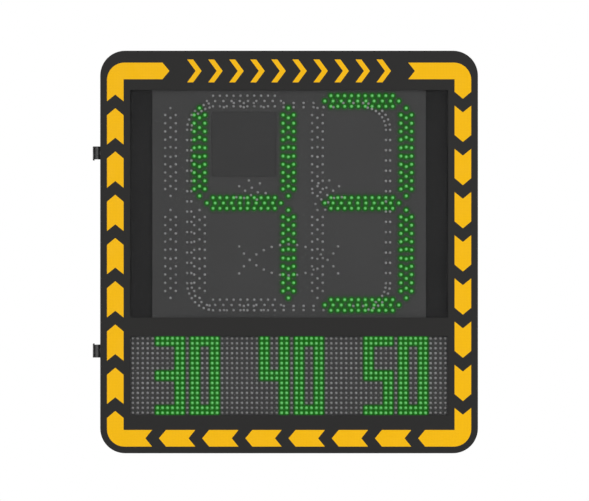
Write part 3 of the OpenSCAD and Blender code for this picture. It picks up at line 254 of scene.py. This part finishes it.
def new_tree(name, *sizes):
    """A tree that takes points, sizes given as (name, kind, default) and a material."""
    tree = bpy.data.node_groups.new(name, "GeometryNodeTree")
    points = ("Geometry", "NodeSocketGeometry", None)
    paint = ("Material", "NodeSocketMaterial", None)
    for label, kind, default in (points, *sizes, paint):
        made = tree.interface.new_socket(label, in_out="INPUT", socket_type=kind)
        if default is not None:
            made.default_value = default
    tree.interface.new_socket("Geometry", in_out="OUTPUT", socket_type="NodeSocketGeometry")
    return tree, add(tree, "NodeGroupInput"), tree.links.new


def copy_to_points(tree, given, form, turn=None):
    """Ends a tree with one copy of the form on each point, made real and painted."""
    link = tree.links.new
    copies = add(tree, "GeometryNodeInstanceOnPoints")
    link(given.outputs["Geometry"], copies.inputs["Points"])
    link(form, copies.inputs["Instance"])
    if turn is not None:
        link(turn, copies.inputs["Rotation"])
    real = add(tree, "GeometryNodeRealizeInstances")
    link(copies.outputs[0], real.inputs["Geometry"])
    paint = add(tree, "GeometryNodeSetMaterial")
    link(real.outputs[0], paint.inputs["Geometry"])
    link(given.outputs["Material"], paint.inputs["Material"])
    result = add(tree, "NodeGroupOutput")
    link(paint.outputs[0], result.inputs["Geometry"])
    return tree


def turned_heads_tree():
    """Turned heads: a circle swept along Y whose radius is full at first and then rounds off to nothing."""
    tree, given, link = new_tree(
        "turned_heads",
        ("Radius", "NodeSocketFloat", 0.002),
        ("Length", "NodeSocketFloat", 0.004),
        ("Straight", "NodeSocketFloat", 0.4),
        ("Sides", "NodeSocketInt", 10),
        ("Rings", "NodeSocketInt", 6),
    )
    ahead = add(tree, "ShaderNodeCombineXYZ")
    link(given.outputs["Length"], ahead.inputs["Y"])
    line = add(tree, "GeometryNodeCurvePrimitiveLine")
    link(ahead.outputs[0], line.inputs["End"])
    steps = add(tree, "GeometryNodeResampleCurve")
    link(line.outputs[0], steps.inputs["Curve"])
    link(given.outputs["Rings"], steps.inputs["Count"])
    along = add(tree, "GeometryNodeSplineParameter")
    past = add(tree, "ShaderNodeMapRange")
    link(along.outputs["Factor"], past.inputs["Value"])
    link(given.outputs["Straight"], past.inputs["From Min"])
    square = add(tree, "ShaderNodeMath", operation="POWER")
    square.inputs[1].default_value = 2.0
    link(past.outputs["Result"], square.inputs[0])
    rest = add(tree, "ShaderNodeMath", operation="SUBTRACT")
    rest.inputs[0].default_value = 1.0
    link(square.outputs[0], rest.inputs[1])
    root = add(tree, "ShaderNodeMath", operation="SQRT")
    link(rest.outputs[0], root.inputs[0])
    wide = add(tree, "ShaderNodeMath", operation="MULTIPLY")
    link(root.outputs[0], wide.inputs[0])
    link(given.outputs["Radius"], wide.inputs[1])
    radius = add(tree, "GeometryNodeSetCurveRadius")
    link(steps.outputs[0], radius.inputs["Curve"])
    link(wide.outputs[0], radius.inputs["Radius"])
    circle = add(tree, "GeometryNodeCurvePrimitiveCircle")
    circle.inputs["Radius"].default_value = 1.0
    link(given.outputs["Sides"], circle.inputs["Resolution"])
    own_radius = add(tree, "GeometryNodeInputRadius")
    sweep = add(tree, "GeometryNodeCurveToMesh")
    sweep.inputs["Fill Caps"].default_value = True
    link(radius.outputs[0], sweep.inputs["Curve"])
    link(circle.outputs[0], sweep.inputs["Profile Curve"])
    link(own_radius.outputs[0], sweep.inputs["Scale"])
    closed = add(tree, "GeometryNodeMergeByDistance")
    closed.inputs["Distance"].default_value = 1e-5
    link(sweep.outputs[0], closed.inputs["Geometry"])
    smooth = add(tree, "GeometryNodeSetShadeSmooth")
    link(closed.outputs[0], smooth.inputs["Geometry"])
    return copy_to_points(tree, given, smooth.outputs[0])


turned_heads = turned_heads_tree()


def flip_outward(mesh):
    work = bmesh.new()
    work.from_mesh(mesh)
    bmesh.ops.recalc_face_normals(work, faces=work.faces)
    work.to_mesh(mesh)
    work.free()


def grow(name, points, tree, material, **values):
    """Runs a tree on points and keeps the result as a plain mesh piece."""
    seed_mesh = bpy.data.meshes.new(name + "_seed")
    seed_mesh.from_pydata([tuple(p) for p in points], [], [])
    seed = set_out(name + "_seed", seed_mesh)
    modifier = seed.modifiers.new("heads", "NODES")
    modifier.node_group = tree
    values["Material"] = material
    for item in tree.interface.items_tree:
        if item.in_out == "INPUT" and item.name in values:
            modifier[item.identifier] = values[item.name]
    bpy.context.view_layer.update()
    ready = seed.evaluated_get(bpy.context.evaluated_depsgraph_get())
    mesh = bpy.data.meshes.new_from_object(ready)
    seed.modifiers.remove(modifier)
    bpy.data.objects.remove(seed)
    mesh.name = name
    flip_outward(mesh)
    return set_out(name, mesh)


def round_path(half_w, half_h, corner, count):
    """Points at even steps round a rectangle with round corners, as (x, z) pairs."""
    sides = [2 * (half_w - corner), 2 * (half_h - corner)]
    bend = math.pi / 2 * corner
    whole = 2 * sum(sides) + 4 * bend
    points = []
    for i in range(count):
        s = whole * (i + 0.5) / count
        at, angle = Vector((-half_w + corner, half_h)), 0.0
        for k in range(4):
            heading = Vector((math.cos(angle), math.sin(angle)))
            if s <= sides[k % 2]:
                points.append(at + heading * s)
                break
            at = at + heading * sides[k % 2]
            s -= sides[k % 2]
            inward = Vector((heading.y, -heading.x))
            if s <= bend:
                turn = s / corner
                across = inward * corner * (1 - math.cos(turn))
                points.append(at + across + heading * corner * math.sin(turn))
                break
            at = at + inward * corner + heading * corner
            s -= bend
            angle -= math.pi / 2
    return points


rivet_in = 0.0105
rivet_corner = 0.032
rivet_count = 44
rivet_bite = 0.0001
rivet_metal = finish("rivet_metal", (0.33, 0.33, 0.335), 0.42, metal=0.9, grain=700.0, relief=0.05)
plate_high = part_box("back_plate")[1]
rivet_path = round_path(plate_high.x - rivet_in, plate_high.z - rivet_in, rivet_corner, rivet_count)
rivet_places = [(p.x, plate_high.y - rivet_bite, p.y) for p in rivet_path]
back_rivets = grow("back_rivets", rivet_places, turned_heads, rivet_metal,
                   Radius=0.0048, Length=0.0019, Straight=0.05, Sides=14, Rings=5)
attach(back_rivets, "housing")


# Rails, strips, tray, bars and keepers: galvanised sheet, cut and folded.
# Zinc sets in flat crystals of many greys, and dulls where it has weathered.
# The equipment rail is rolled from finer-grained sheet.
def galvanised_sheet(name, colour, crystals_per_m):
    material, tree, shader = new_material(name)
    place = add(tree, "ShaderNodeTexCoord")
    crystals = add(tree, "ShaderNodeTexVoronoi")
    crystals.inputs["Scale"].default_value = crystals_per_m
    tree.links.new(place.outputs["Object"], crystals.inputs["Vector"])
    shine = add(tree, "ShaderNodeSeparateColor")
    tree.links.new(crystals.outputs["Color"], shine.inputs["Color"])
    worn = noise(tree, 9.0, 5.0)
    blend = add(tree, "ShaderNodeMath", operation="MULTIPLY_ADD")
    blend.inputs[1].default_value = 0.45
    tree.links.new(shine.outputs["Red"], blend.inputs[0])
    tree.links.new(worn, blend.inputs[2])
    tint = ramp(tree, blend.outputs[0], shade(colour, 0.78), shade(colour, 1.18), 0.4, 1.0)
    tree.links.new(tint, shader.inputs["Base Color"])
    tree.links.new(spread(tree, shine.outputs["Green"], 0.38, 0.52), shader.inputs["Roughness"])
    shader.inputs["Metallic"].default_value = 0.85
    bump(tree, shader, noise(tree, 260.0, 2.0), 0.05, 0.0003)
    return material


galvanised = galvanised_sheet("galvanised_sheet", (0.44, 0.45, 0.46), 55.0)
dress(galvanised, "upper_rail", "lower_rail", "backing_strips", "equipment_tray", "message_bars", "keepers")
rolled_zinc = galvanised_sheet("rolled_zinc", (0.5, 0.5, 0.48), 140.0)
dress(rolled_zinc, "din_rail")


# Bolts, nuts, screws and hinge pins: steel with a bright zinc plating.
# Their heads carry faint turning marks.
zinc_plate = finish("zinc_plate", (0.48, 0.48, 0.49), 0.34, mottle=60.0, change=0.1, grain=500.0,
                    relief=0.06, metal=1.0, stretch=(1, 6, 6))
dress(zinc_plate, "rail_bolts", "rail_nuts", "hinge_screws", "hinge_nuts", "door_leaf_screws", "hinge_pins")


# Small screws of the tray, cases, rail, bars and inner plate: pan heads with a six-lobed socket.
# They are rolled steel with the same zinc plating, and each has stopped at its own angle.
def lobed_head(name, radius, toward):
    """A turned pan head whose socket is a six-lobed star; toward is +1 for +Y and -1 for -Y."""
    sides = 12
    height = 0.62 * radius
    rings = [(1.0, 0.0), (1.0, 0.45), (0.93, 0.78), (0.78, 0.96), (0.62, 1.0)]
    star_out, star_in = 0.5, 0.36
    socket_top, socket_floor = 1.0, 0.35
    points, faces = [], []
    for r, h in rings:
        for k in range(sides):
            a = math.tau * k / sides
            points.append((radius * r * math.cos(a), toward * height * h, radius * r * math.sin(a)))
    for h in (socket_top, socket_floor):
        for k in range(sides):
            a = math.tau * k / sides
            star = radius * (star_out if k % 2 else star_in)
            points.append((star * math.cos(a), toward * height * h, star * math.sin(a)))
    for row in range(len(rings) + 1):
        for k in range(sides):
            a, b = row * sides + k, row * sides + (k + 1) % sides
            faces.append((a, b, b + sides, a + sides))
    faces.append(tuple(range(sides)))
    faces.append(tuple(range(len(points) - sides, len(points))))
    mesh = bpy.data.meshes.new(name)
    mesh.from_pydata(points, [], faces)
    flip_outward(mesh)
    return mesh


def set_screws_tree():
    """Copies of one mesh object on points, each turned about Y by its own seeded angle."""
    tree, given, link = new_tree(
        "set_screws",
        ("Screw", "NodeSocketObject", None),
        ("Seed", "NodeSocketInt", 7),
    )
    pattern = add(tree, "GeometryNodeObjectInfo")
    link(given.outputs["Screw"], pattern.inputs["Object"])
    angle = add(tree, "FunctionNodeRandomValue", data_type="FLOAT")
    angle.inputs[3].default_value = math.tau
    link(given.outputs["Seed"], angle.inputs["Seed"])
    turn = add(tree, "ShaderNodeCombineXYZ")
    link(angle.outputs[1], turn.inputs["Y"])
    return copy_to_points(tree, given, pattern.outputs["Geometry"], turn.outputs[0])


set_screws = set_screws_tree()
screw_bite = 0.00005


def screws(name, body, toward, radius, places):
    """Pan heads at (x, y, z) places, on one body and facing one way."""
    pattern = set_out(name + "_pattern", lobed_head(name + "_head", radius, toward))
    sunk = [(x, y - toward * screw_bite, z) for x, y, z in places]
    made = grow(name, sunk, set_screws, zinc_plate, Screw=pattern, Seed=len(places))
    bpy.data.objects.remove(pattern)
    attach(made, body)


def four(x, z, dx, dz, y):
    return [(x + sx * dx, y, z + sz * dz) for sx in (-1, 1) for sz in (-1, 1)]


def middle(name):
    low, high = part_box(name)
    return (low + high) / 2


front, back = -1, 1

tray_sheet = 0.002
spacer_half_w = 0.007
spacer_half_h = 0.006
tray_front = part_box("equipment_tray")[1].y - tray_sheet
spacers_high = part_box("tray_spacers")[1]
screws("tray_screws", "housing", front, 0.0055,
       four(0, 0, spacers_high.x - spacer_half_w, spacers_high.z - spacer_half_h, tray_front))

rail_sheet = 0.001
rail_low, rail_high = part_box("din_rail")
rail_mid_z = (rail_low.z + rail_high.z) / 2
rail_ends = (rail_low.x + 0.008, rail_high.x - 0.012)
screws("rail_screws", "housing", front, 0.0038,
       [(x, rail_high.y - rail_sheet, rail_mid_z) for x in rail_ends])

supply_low, supply_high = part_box("power_supply")
supply_columns = (supply_low.x + 0.007, supply_high.x - 0.03)
supply_rows = (supply_low.z + 0.007, supply_high.z - 0.007)
screws("supply_screws", "housing", front, 0.003,
       [(x, supply_low.y, z) for x in supply_columns for z in supply_rows])

plate_screw_in = 0.0125
plate_screw_corner = 0.0295
plate_screw_count = 36
frame_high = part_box("door_frame")[1]
plate_path = round_path(frame_high.x - plate_screw_in, frame_high.z - plate_screw_in,
                        plate_screw_corner, plate_screw_count)
screws("plate_screws", "door", back, 0.0023, [(p.x, frame_high.y, p.y) for p in plate_path])

case_flange = 0.003
flange_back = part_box("inner_plate")[1].y + case_flange
radar_screw_out = 0.0715
radar_mid = middle("radar_case")
screws("radar_screws", "door", back, 0.0035,
       four(radar_mid.x, radar_mid.z, radar_screw_out, radar_screw_out, flange_back))

ear_screw_out = 0.12
lid_screw_x = 0.102
lid_screw_z = 0.057
lid_recess = 0.005
case_mid = middle("controller_case")
lid_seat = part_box("controller_lid")[1].y - lid_recess
screws("controller_screws", "door", back, 0.0042,
       [(case_mid.x + s * ear_screw_out, flange_back, case_mid.z) for s in (-1, 1)])
screws("lid_screws", "door", back, 0.0034, four(case_mid.x, case_mid.z, lid_screw_x, lid_screw_z, lid_seat))

bar_half_h = 0.01
bar_columns = (-0.343, -0.3, -0.02, 0.02, 0.3, 0.343)
bars_low, bars_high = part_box("message_bars")
bar_rows = (bars_low.z + bar_half_h, bars_high.z - bar_half_h)
screws("bar_screws", "door", back, 0.0045, [(x, bars_high.y, z) for x in bar_columns for z in bar_rows])


# Hinges: leaves with cast knuckles and a thin guard plate outside, tumbled grey.
# The cast skin is slightly rough and cloudy.
cast_grey = finish("cast_grey", (0.038, 0.038, 0.038), 0.45, mottle=40.0, change=0.16, grain=420.0,
                   relief=0.2, metal=0.25)
dress(cast_grey, "hinge_leaf_upper", "hinge_leaf_lower", "door_leaf_upper", "door_leaf_lower")


# Door gasket: a strip of black foam rubber, glued to the band's lip.
# Its skin is matt and full of fine pores.
foam_rubber = finish("foam_rubber", (0.012, 0.012, 0.012), 0.85, mottle=30.0, change=0.3, grain=650.0,
                     relief=0.5)
dress(foam_rubber, "door_gasket")


# Spacers and standoffs: turned brass with a nickel wash.
# The turning leaves fine rings along their length.
nickel_brass = finish("nickel_brass", (0.5, 0.46, 0.36), 0.3, mottle=80.0, change=0.1, grain=600.0,
                      relief=0.06, metal=1.0, stretch=(1, 8, 1))
dress(nickel_brass, "tray_spacers", "board_standoffs")


# Power supply: a folded aluminium case with slots for air.
# The sheet is brushed lengthwise.
brushed_case = finish("brushed_case", (0.5, 0.51, 0.52), 0.4, mottle=5.0, change=0.06, grain=260.0,
                      relief=0.08, metal=0.9, stretch=(0.05, 1, 8))
dress(brushed_case, "power_supply")


# Breaker, surge protector and terminal blocks: moulded nylon, each with a fine spark-eroded grain.
# The terminals are a darker grey than the two devices.
pale_moulding = finish("pale_moulding", (0.6, 0.6, 0.58), 0.5, mottle=10.0, change=0.04, grain=1600.0,
                       relief=0.1)
mid_moulding = finish("mid_moulding", (0.16, 0.17, 0.18), 0.5, mottle=12.0, change=0.06, grain=1600.0,
                      relief=0.1)
dress(pale_moulding, "breaker", "surge_protector")
dress(mid_moulding, "terminal_blocks")


# Gland and vent: black nylon parts, turned and moulded, that seal the back.
# The nylon is satin, with faint flow marks.
black_nylon = finish("black_nylon", (0.015, 0.015, 0.015), 0.42, mottle=25.0, change=0.2, grain=900.0,
                     relief=0.08)
dress(black_nylon, "cable_gland", "gland_nut", "breather_vent")


# Locks: die-cast barrels and plugs with satin chrome.
# Their nuts and pressed hooks are zinc-plated steel.
satin_chrome = finish("satin_chrome", (0.55, 0.56, 0.57), 0.25, mottle=70.0, change=0.05, grain=700.0,
                      relief=0.05, metal=1.0)
dress(satin_chrome, "lock_barrel_upper", "lock_barrel_lower", "lock_plug_upper", "lock_plug_lower")
dress(zinc_plate, "lock_nuts", "lock_hook_upper", "lock_hook_lower")


# Face panel: a composite sheet with a matt, warm black-grey coat.
# The coat has the faintest pebbling and is almost even.
face_coat = finish("face_coat", (0.0168, 0.0164, 0.0158), 0.62, mottle=2.5, change=0.04, grain=1800.0,
                   relief=0.1, rough_change=0.04, gloss=0.15)
dress(face_coat, "face_panel")


# Arrow ring and header strip: amber reflective film, cut and stuck on the face.
# Under its clear skin the film has a close pattern of small cells, a little darker at their edges.
def reflective_film(name, colour):
    material, tree, shader = new_material(name)
    place = add(tree, "ShaderNodeTexCoord")
    cells = add(tree, "ShaderNodeTexVoronoi", feature="DISTANCE_TO_EDGE")
    cells.inputs["Scale"].default_value = 330.0
    cells.inputs["Randomness"].default_value = 0.15
    tree.links.new(place.outputs["Object"], cells.inputs["Vector"])
    tint = ramp(tree, cells.outputs["Distance"], shade(colour, 0.9), shade(colour, 1.03), 0.0, 0.12)
    tree.links.new(tint, shader.inputs["Base Color"])
    tree.links.new(spread(tree, noise(tree, 50.0), 0.38, 0.46), shader.inputs["Roughness"])
    shader.inputs["Specular IOR Level"].default_value = 0.06
    bump(tree, shader, noise(tree, 40.0, 2.0), 0.02, 0.0003)
    return material


amber_film = reflective_film("amber_film", (0.995, 0.523, 0.002))
dress(amber_film, "arrow_film", "header_film")


# Panes: clear weatherproof sheet behind each window, almost without reflection.
# At a slant the surface shines, and straight on it can hardly be seen.
dust_share = 0.01
slant_share = 0.35
pane_clear, tree, shader = new_material("pane_clear")
slant = add(tree, "ShaderNodeLayerWeight")
slant.inputs["Blend"].default_value = 0.25
dust = noise(tree, 14.0, 5.0)
haze = add(tree, "ShaderNodeMath", operation="MULTIPLY_ADD")
haze.inputs[1].default_value = dust_share
tree.links.new(dust, haze.inputs[0])
film_share = add(tree, "ShaderNodeMath", operation="MULTIPLY")
film_share.inputs[1].default_value = slant_share
tree.links.new(slant.outputs["Fresnel"], film_share.inputs[0])
tree.links.new(film_share.outputs[0], haze.inputs[2])
tree.links.new(haze.outputs[0], shader.inputs["Alpha"])
shader.inputs["Base Color"].default_value = (0.06, 0.065, 0.07, 1)
shader.inputs["Roughness"].default_value = 0.08
dress(pane_clear, "digit_pane", "message_pane")


# Clamps: black moulded frames that press the panes against the face.
# They are satin, with the grain of their mould.
clamp_black = finish("clamp_black", (0.014, 0.014, 0.014), 0.5, mottle=20.0, change=0.15, grain=1200.0,
                     relief=0.1)
dress(clamp_black, "digit_pane_clamp", "message_pane_clamp")


# Inner plate: black-coated sheet that shows as a dark strip on each side of the digit board.
# Its coat is matt and even.
inner_coat = finish("inner_coat", (0.0133, 0.0133, 0.0133), 0.7, mottle=5.0, change=0.06, grain=1500.0,
                    relief=0.12, rough_change=0.05, gloss=0.08)
dress(inner_coat, "inner_plate")


# Boards and radar cover: dark grey masks and a moulded cover, all matt.
# The cover is a shade darker than the board that it is set in.
mask_grey = (0.0472, 0.0472, 0.0472)
board_mask = finish("board_mask", mask_grey, 0.68, mottle=8.0, change=0.03, grain=2000.0,
                    relief=0.06, rough_change=0.04, gloss=0.15)
cover_grey = finish("cover_grey", (0.0282, 0.0282, 0.0282), 0.6, mottle=8.0, change=0.03, grain=2000.0,
                    relief=0.06, rough_change=0.04, gloss=0.15)
dress(board_mask, "digit_board", "message_modules")
dress(cover_grey, "radar_cover")


# Lamps: moulded domes with a short straight foot, standing in rows on the boards.
# Lit ones glow pale green at the tip and deeper toward the foot; unlit ones are milky.
def solid_centres(name):
    """Middle of each separate solid of a CAD node."""
    work = bmesh.new()
    work.from_mesh(node[name].data)
    bmesh.ops.remove_doubles(work, verts=work.verts, dist=1e-6)
    centres = []
    known = set()
    for first in work.verts:
        if first in known:
            continue
        known.add(first)
        group = [first]
        for vert in group:
            for edge in vert.link_edges:
                other = edge.other_vert(vert)
                if other not in known:
                    known.add(other)
                    group.append(other)
        low = Vector(min(v.co[i] for v in group) for i in range(3))
        high = Vector(max(v.co[i] for v in group) for i in range(3))
        centres.append((low + high) / 2)
    work.free()
    return centres


lamp_low, lamp_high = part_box("digit_lamps_lit")


def lamp_glow(name, tip, foot):
    material, tree, shader = new_material(name)
    place = add(tree, "ShaderNodeTexCoord")
    axes = add(tree, "ShaderNodeSeparateXYZ")
    tree.links.new(place.outputs["Object"], axes.inputs[0])
    height = add(tree, "ShaderNodeMapRange")
    height.inputs["From Min"].default_value = lamp_high.y
    height.inputs["From Max"].default_value = lamp_low.y
    tree.links.new(axes.outputs["Y"], height.inputs["Value"])
    colour = ramp(tree, height.outputs["Result"], foot, tip, 0.35, 1.0)
    tree.links.new(colour, shader.inputs["Emission Color"])
    shader.inputs["Emission Strength"].default_value = 1.0
    shader.inputs["Base Color"].default_value = (*shade(foot, 0.3), 1)
    shader.inputs["Roughness"].default_value = 0.35
    shader.inputs["Specular IOR Level"].default_value = 0.25
    return material


lamp_r = 0.0027
lit_green = lamp_glow("lit_lamp_green", (0.16, 0.485, 0.165), (0.012, 0.24, 0.014))
milky, tree, shader = new_material("milky_lamp")
milk = ramp(tree, noise(tree, 30.0), (0.205, 0.205, 0.205), (0.285, 0.285, 0.285))
tree.links.new(milk, shader.inputs["Base Color"])
shader.inputs["Roughness"].default_value = 0.25

for name, material, slot_name in (
    ("digit_lamps_lit", lit_green, "lamp_lit"),
    ("digit_lamps_unlit", milky, "lamp_unlit"),
    ("face_lamps", milky, "lamp_unlit"),
    ("message_lamps_lit", lit_green, "lamp_lit"),
    ("message_lamps_unlit", milky, "lamp_unlit"),
):
    low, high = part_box(name)
    feet = [(c.x, high.y, c.z) for c in solid_centres(name)]
    lamps = grow(name + "_domes", feet, turned_heads, material,
                 Radius=lamp_r, Length=low.y - high.y, Straight=0.5, Sides=10, Rings=7)
    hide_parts(name)
    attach(lamps, "door")


# Light spill: the green that the lit lamps throw on the mask, bright round their feet and deep between them.
# A skin as thin as paint lies on the board where the light falls, and fades out at its edge.
spill_cell = 0.00125
spill_reach = 0.005
ring_reach = 0.0034
overlap_gain = 2.0
least_light = 0.02
skin_lift = 0.00008
spill_green, tree, shader = new_material("spill_green")
level = add(tree, "ShaderNodeAttribute", attribute_name="spill")
near = add(tree, "ShaderNodeAttribute", attribute_name="ring")
darker = add(tree, "ShaderNodeMath", operation="MULTIPLY", use_clamp=True)
darker.inputs[1].default_value = 1.35
tree.links.new(level.outputs["Fac"], darker.inputs[0])
tone = add(tree, "ShaderNodeMix", data_type="RGBA")
tone.inputs["A"].default_value = (*mask_grey, 1)
tone.inputs["B"].default_value = (0.003, 0.01, 0.002, 1)
tree.links.new(darker.outputs[0], tone.inputs["Factor"])
tree.links.new(tone.outputs["Result"], shader.inputs["Base Color"])
deep = add(tree, "ShaderNodeMix", data_type="RGBA")
deep.inputs["A"].default_value = (0, 0, 0, 1)
deep.inputs["B"].default_value = (0.004, 0.098, 0.003, 1)
tree.links.new(level.outputs["Fac"], deep.inputs["Factor"])
bright = add(tree, "ShaderNodeMix", data_type="RGBA")
bright.inputs["B"].default_value = (0.01, 0.31, 0.012, 1)
tree.links.new(near.outputs["Fac"], bright.inputs["Factor"])
tree.links.new(deep.outputs["Result"], bright.inputs["A"])
tree.links.new(bright.outputs["Result"], shader.inputs["Emission Color"])
shader.inputs["Emission Strength"].default_value = 1.0
shader.inputs["Roughness"].default_value = 0.68
shader.inputs["Specular IOR Level"].default_value = 0.05


def spill_skin(name, lamps_node, y):
    """A grid of small faces at y, kept where the lamps' light is felt, with the light as two attributes."""
    centres = np.array([(c.x, c.z) for c in solid_centres(lamps_node)])
    low = centres.min(0) - 3 * spill_reach
    counts = np.ceil((centres.max(0) + 3 * spill_reach - low) / spill_cell).astype(int) + 1
    xs = low[0] + spill_cell * np.arange(counts[0])
    zs = low[1] + spill_cell * np.arange(counts[1])
    light = np.zeros(counts)
    ring = np.zeros(counts)
    for cx, cz in centres:
        away = (xs[:, None] - cx) ** 2 + (zs[None, :] - cz) ** 2
        light += np.exp(-away / spill_reach ** 2)
        ring = np.maximum(ring, np.exp(-(away / ring_reach ** 2) ** 2))
    light = np.minimum(overlap_gain * light, 1.0)
    corners = [light[:-1, :-1], light[1:, :-1], light[:-1, 1:], light[1:, 1:]]
    felt = np.maximum.reduce(corners) > least_light
    number = {}
    points, faces, lights, rings = [], [], [], []

    def corner_number(i, j):
        if (i, j) not in number:
            number[i, j] = len(points)
            points.append((xs[i], y, zs[j]))
            lights.append(float(light[i, j]) if light[i, j] > least_light else 0.0)
            rings.append(float(ring[i, j]))
        return number[i, j]

    for i, j in zip(*np.nonzero(felt)):
        faces.append([corner_number(i, j), corner_number(i + 1, j),
                      corner_number(i + 1, j + 1), corner_number(i, j + 1)])
    mesh = bpy.data.meshes.new(name)
    mesh.from_pydata(points, [], faces)
    mesh.attributes.new("spill", "FLOAT", "POINT").data.foreach_set("value", lights)
    mesh.attributes.new("ring", "FLOAT", "POINT").data.foreach_set("value", rings)
    mesh.materials.append(spill_green)
    skin = set_out(name, mesh)
    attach(skin, "door")


mask_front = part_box("digit_board")[0].y
spill_skin("digit_light_spill", "digit_lamps_lit", mask_front - skin_lift)
spill_skin("message_light_spill", "message_lamps_lit", mask_front - skin_lift)


# Circuit boards behind the message masks: glass fibre board under a green lacquer.
# Copper tracks show through the lacquer as a paler net of straight lines.
# The data sockets on them are moulded in the same black nylon as the gland.
def lacquered_board(name, lacquer, tracks):
    material, tree, shader = new_material(name)
    place = add(tree, "ShaderNodeTexCoord")
    net = add(tree, "ShaderNodeTexVoronoi", distance="CHEBYCHEV", feature="DISTANCE_TO_EDGE")
    net.inputs["Scale"].default_value = 120.0
    net.inputs["Randomness"].default_value = 0.75
    tree.links.new(place.outputs["Object"], net.inputs["Vector"])
    tint = ramp(tree, net.outputs["Distance"], tracks, lacquer, 0.06, 0.1)
    tree.links.new(tint, shader.inputs["Base Color"])
    tree.links.new(spread(tree, noise(tree, 40.0), 0.28, 0.4), shader.inputs["Roughness"])
    bump(tree, shader, net.outputs["Distance"], 0.1, 0.0001)
    return material


green_lacquer = lacquered_board("green_lacquer", (0.008, 0.06, 0.022), (0.018, 0.115, 0.045))
dress(green_lacquer, "module_boards")
dress(black_nylon, "board_sockets")


# Driver chips and small parts soldered to the circuit boards: black epoxy bodies with tinned legs.
# They stand in two rows between the bars, and each chip has three small ceramic parts beside it.
def boxes_mesh(name, boxes):
    """One mesh of (low, high, slope) boxes; the face toward +Y is drawn in by the slope."""
    points, faces = [], []
    for low, high, slope in boxes:
        first = len(points)
        for y, inset in ((low[1], 0.0), (high[1], slope)):
            for x, z in ((low[0] + inset, low[2] + inset), (high[0] - inset, low[2] + inset),
                         (high[0] - inset, high[2] - inset), (low[0] + inset, high[2] - inset)):
                points.append((x, y, z))
        a, b, c, d, e, f, g, h = range(first, first + 8)
        faces += [(a, b, c, d), (e, f, g, h), (a, b, f, e), (b, c, g, f), (c, d, h, g), (d, a, e, h)]
    mesh = bpy.data.meshes.new(name)
    mesh.from_pydata(points, [], faces)
    flip_outward(mesh)
    return mesh


def set_parts_tree():
    """Unturned copies of one mesh object on points."""
    tree, given, link = new_tree("set_parts", ("Part", "NodeSocketObject", None))
    pattern = add(tree, "GeometryNodeObjectInfo")
    link(given.outputs["Part"], pattern.inputs["Object"])
    return copy_to_points(tree, given, pattern.outputs["Geometry"])


set_parts = set_parts_tree()


def place_parts(name, boxes, places, material):
    pattern = set_out(name + "_pattern", boxes_mesh(name + "_form", boxes))
    made = grow(name, places, set_parts, material, Part=pattern)
    bpy.data.objects.remove(pattern)
    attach(made, "door")


chips_in_row = 8
chip_pitch = 0.036
boards_low, boards_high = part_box("module_boards")
chip_rows = (boards_low.z + 0.046, boards_low.z + 0.07)
module_centres = [s * (boards_high.x - boards_low.x) / 4 for s in (-1, 1)]
chip_columns = [c + (k - 3.5) * chip_pitch for c in module_centres for k in range(chips_in_row)]
chip_places = [(x, boards_high.y, z) for x in chip_columns for z in chip_rows]
chip_black = finish("chip_black", (0.012, 0.012, 0.013), 0.45, mottle=60.0, change=0.15, grain=2500.0,
                    relief=0.1)
chip_body = ((-0.005, 0.0002, -0.002), (0.005, 0.0019, 0.002), 0.0003)
place_parts("driver_chips", [chip_body], chip_places, chip_black)

legs_on_side = 8
leg_pitch = 0.00127
leg_half_w = 0.0002
leg_half_l = 0.00095
leg_height = 0.0007
leg_out = 0.00285
tinned = finish("tinned", (0.55, 0.55, 0.54), 0.3, mottle=200.0, change=0.1, grain=2000.0, relief=0.05,
                metal=1.0)
chip_legs = []
for k in range(legs_on_side):
    x = (k - 3.5) * leg_pitch
    for z in (-leg_out, leg_out):
        chip_legs.append(((x - leg_half_w, 0.0, z - leg_half_l),
                          (x + leg_half_w, leg_height, z + leg_half_l), 0.0))
place_parts("chip_legs", chip_legs, chip_places, tinned)

beside_chip = ((0.0105, 0.0028), (0.0105, -0.0012), (0.0165, 0.001))
ceramic = finish("ceramic", (0.35, 0.27, 0.18), 0.4, mottle=300.0, change=0.25, grain=1500.0,
                 relief=0.05)
ceramic_block = ((-0.0008, 0.0, -0.0006), (0.0008, 0.0009, 0.0006), 0.00005)
small_places = [(x + dx, y, z + dz) for x, y, z in chip_places for dx, dz in beside_chip]
place_parts("small_parts", [ceramic_block], small_places, ceramic)


# Radar case and controller: grey moulded cases behind the inner plate.
# Both have the fine grain of their moulds, and the controller's lid is darker.
case_grey = finish("case_grey", (0.12, 0.125, 0.13), 0.5, mottle=9.0, change=0.05, grain=1400.0,
                   relief=0.12)
lid_grey = finish("lid_grey", (0.075, 0.08, 0.085), 0.5, mottle=9.0, change=0.05, grain=1400.0,
                  relief=0.12)
dress(case_grey, "radar_case", "controller_case")
dress(lid_grey, "controller_lid")

bpy.context.view_layer.update()
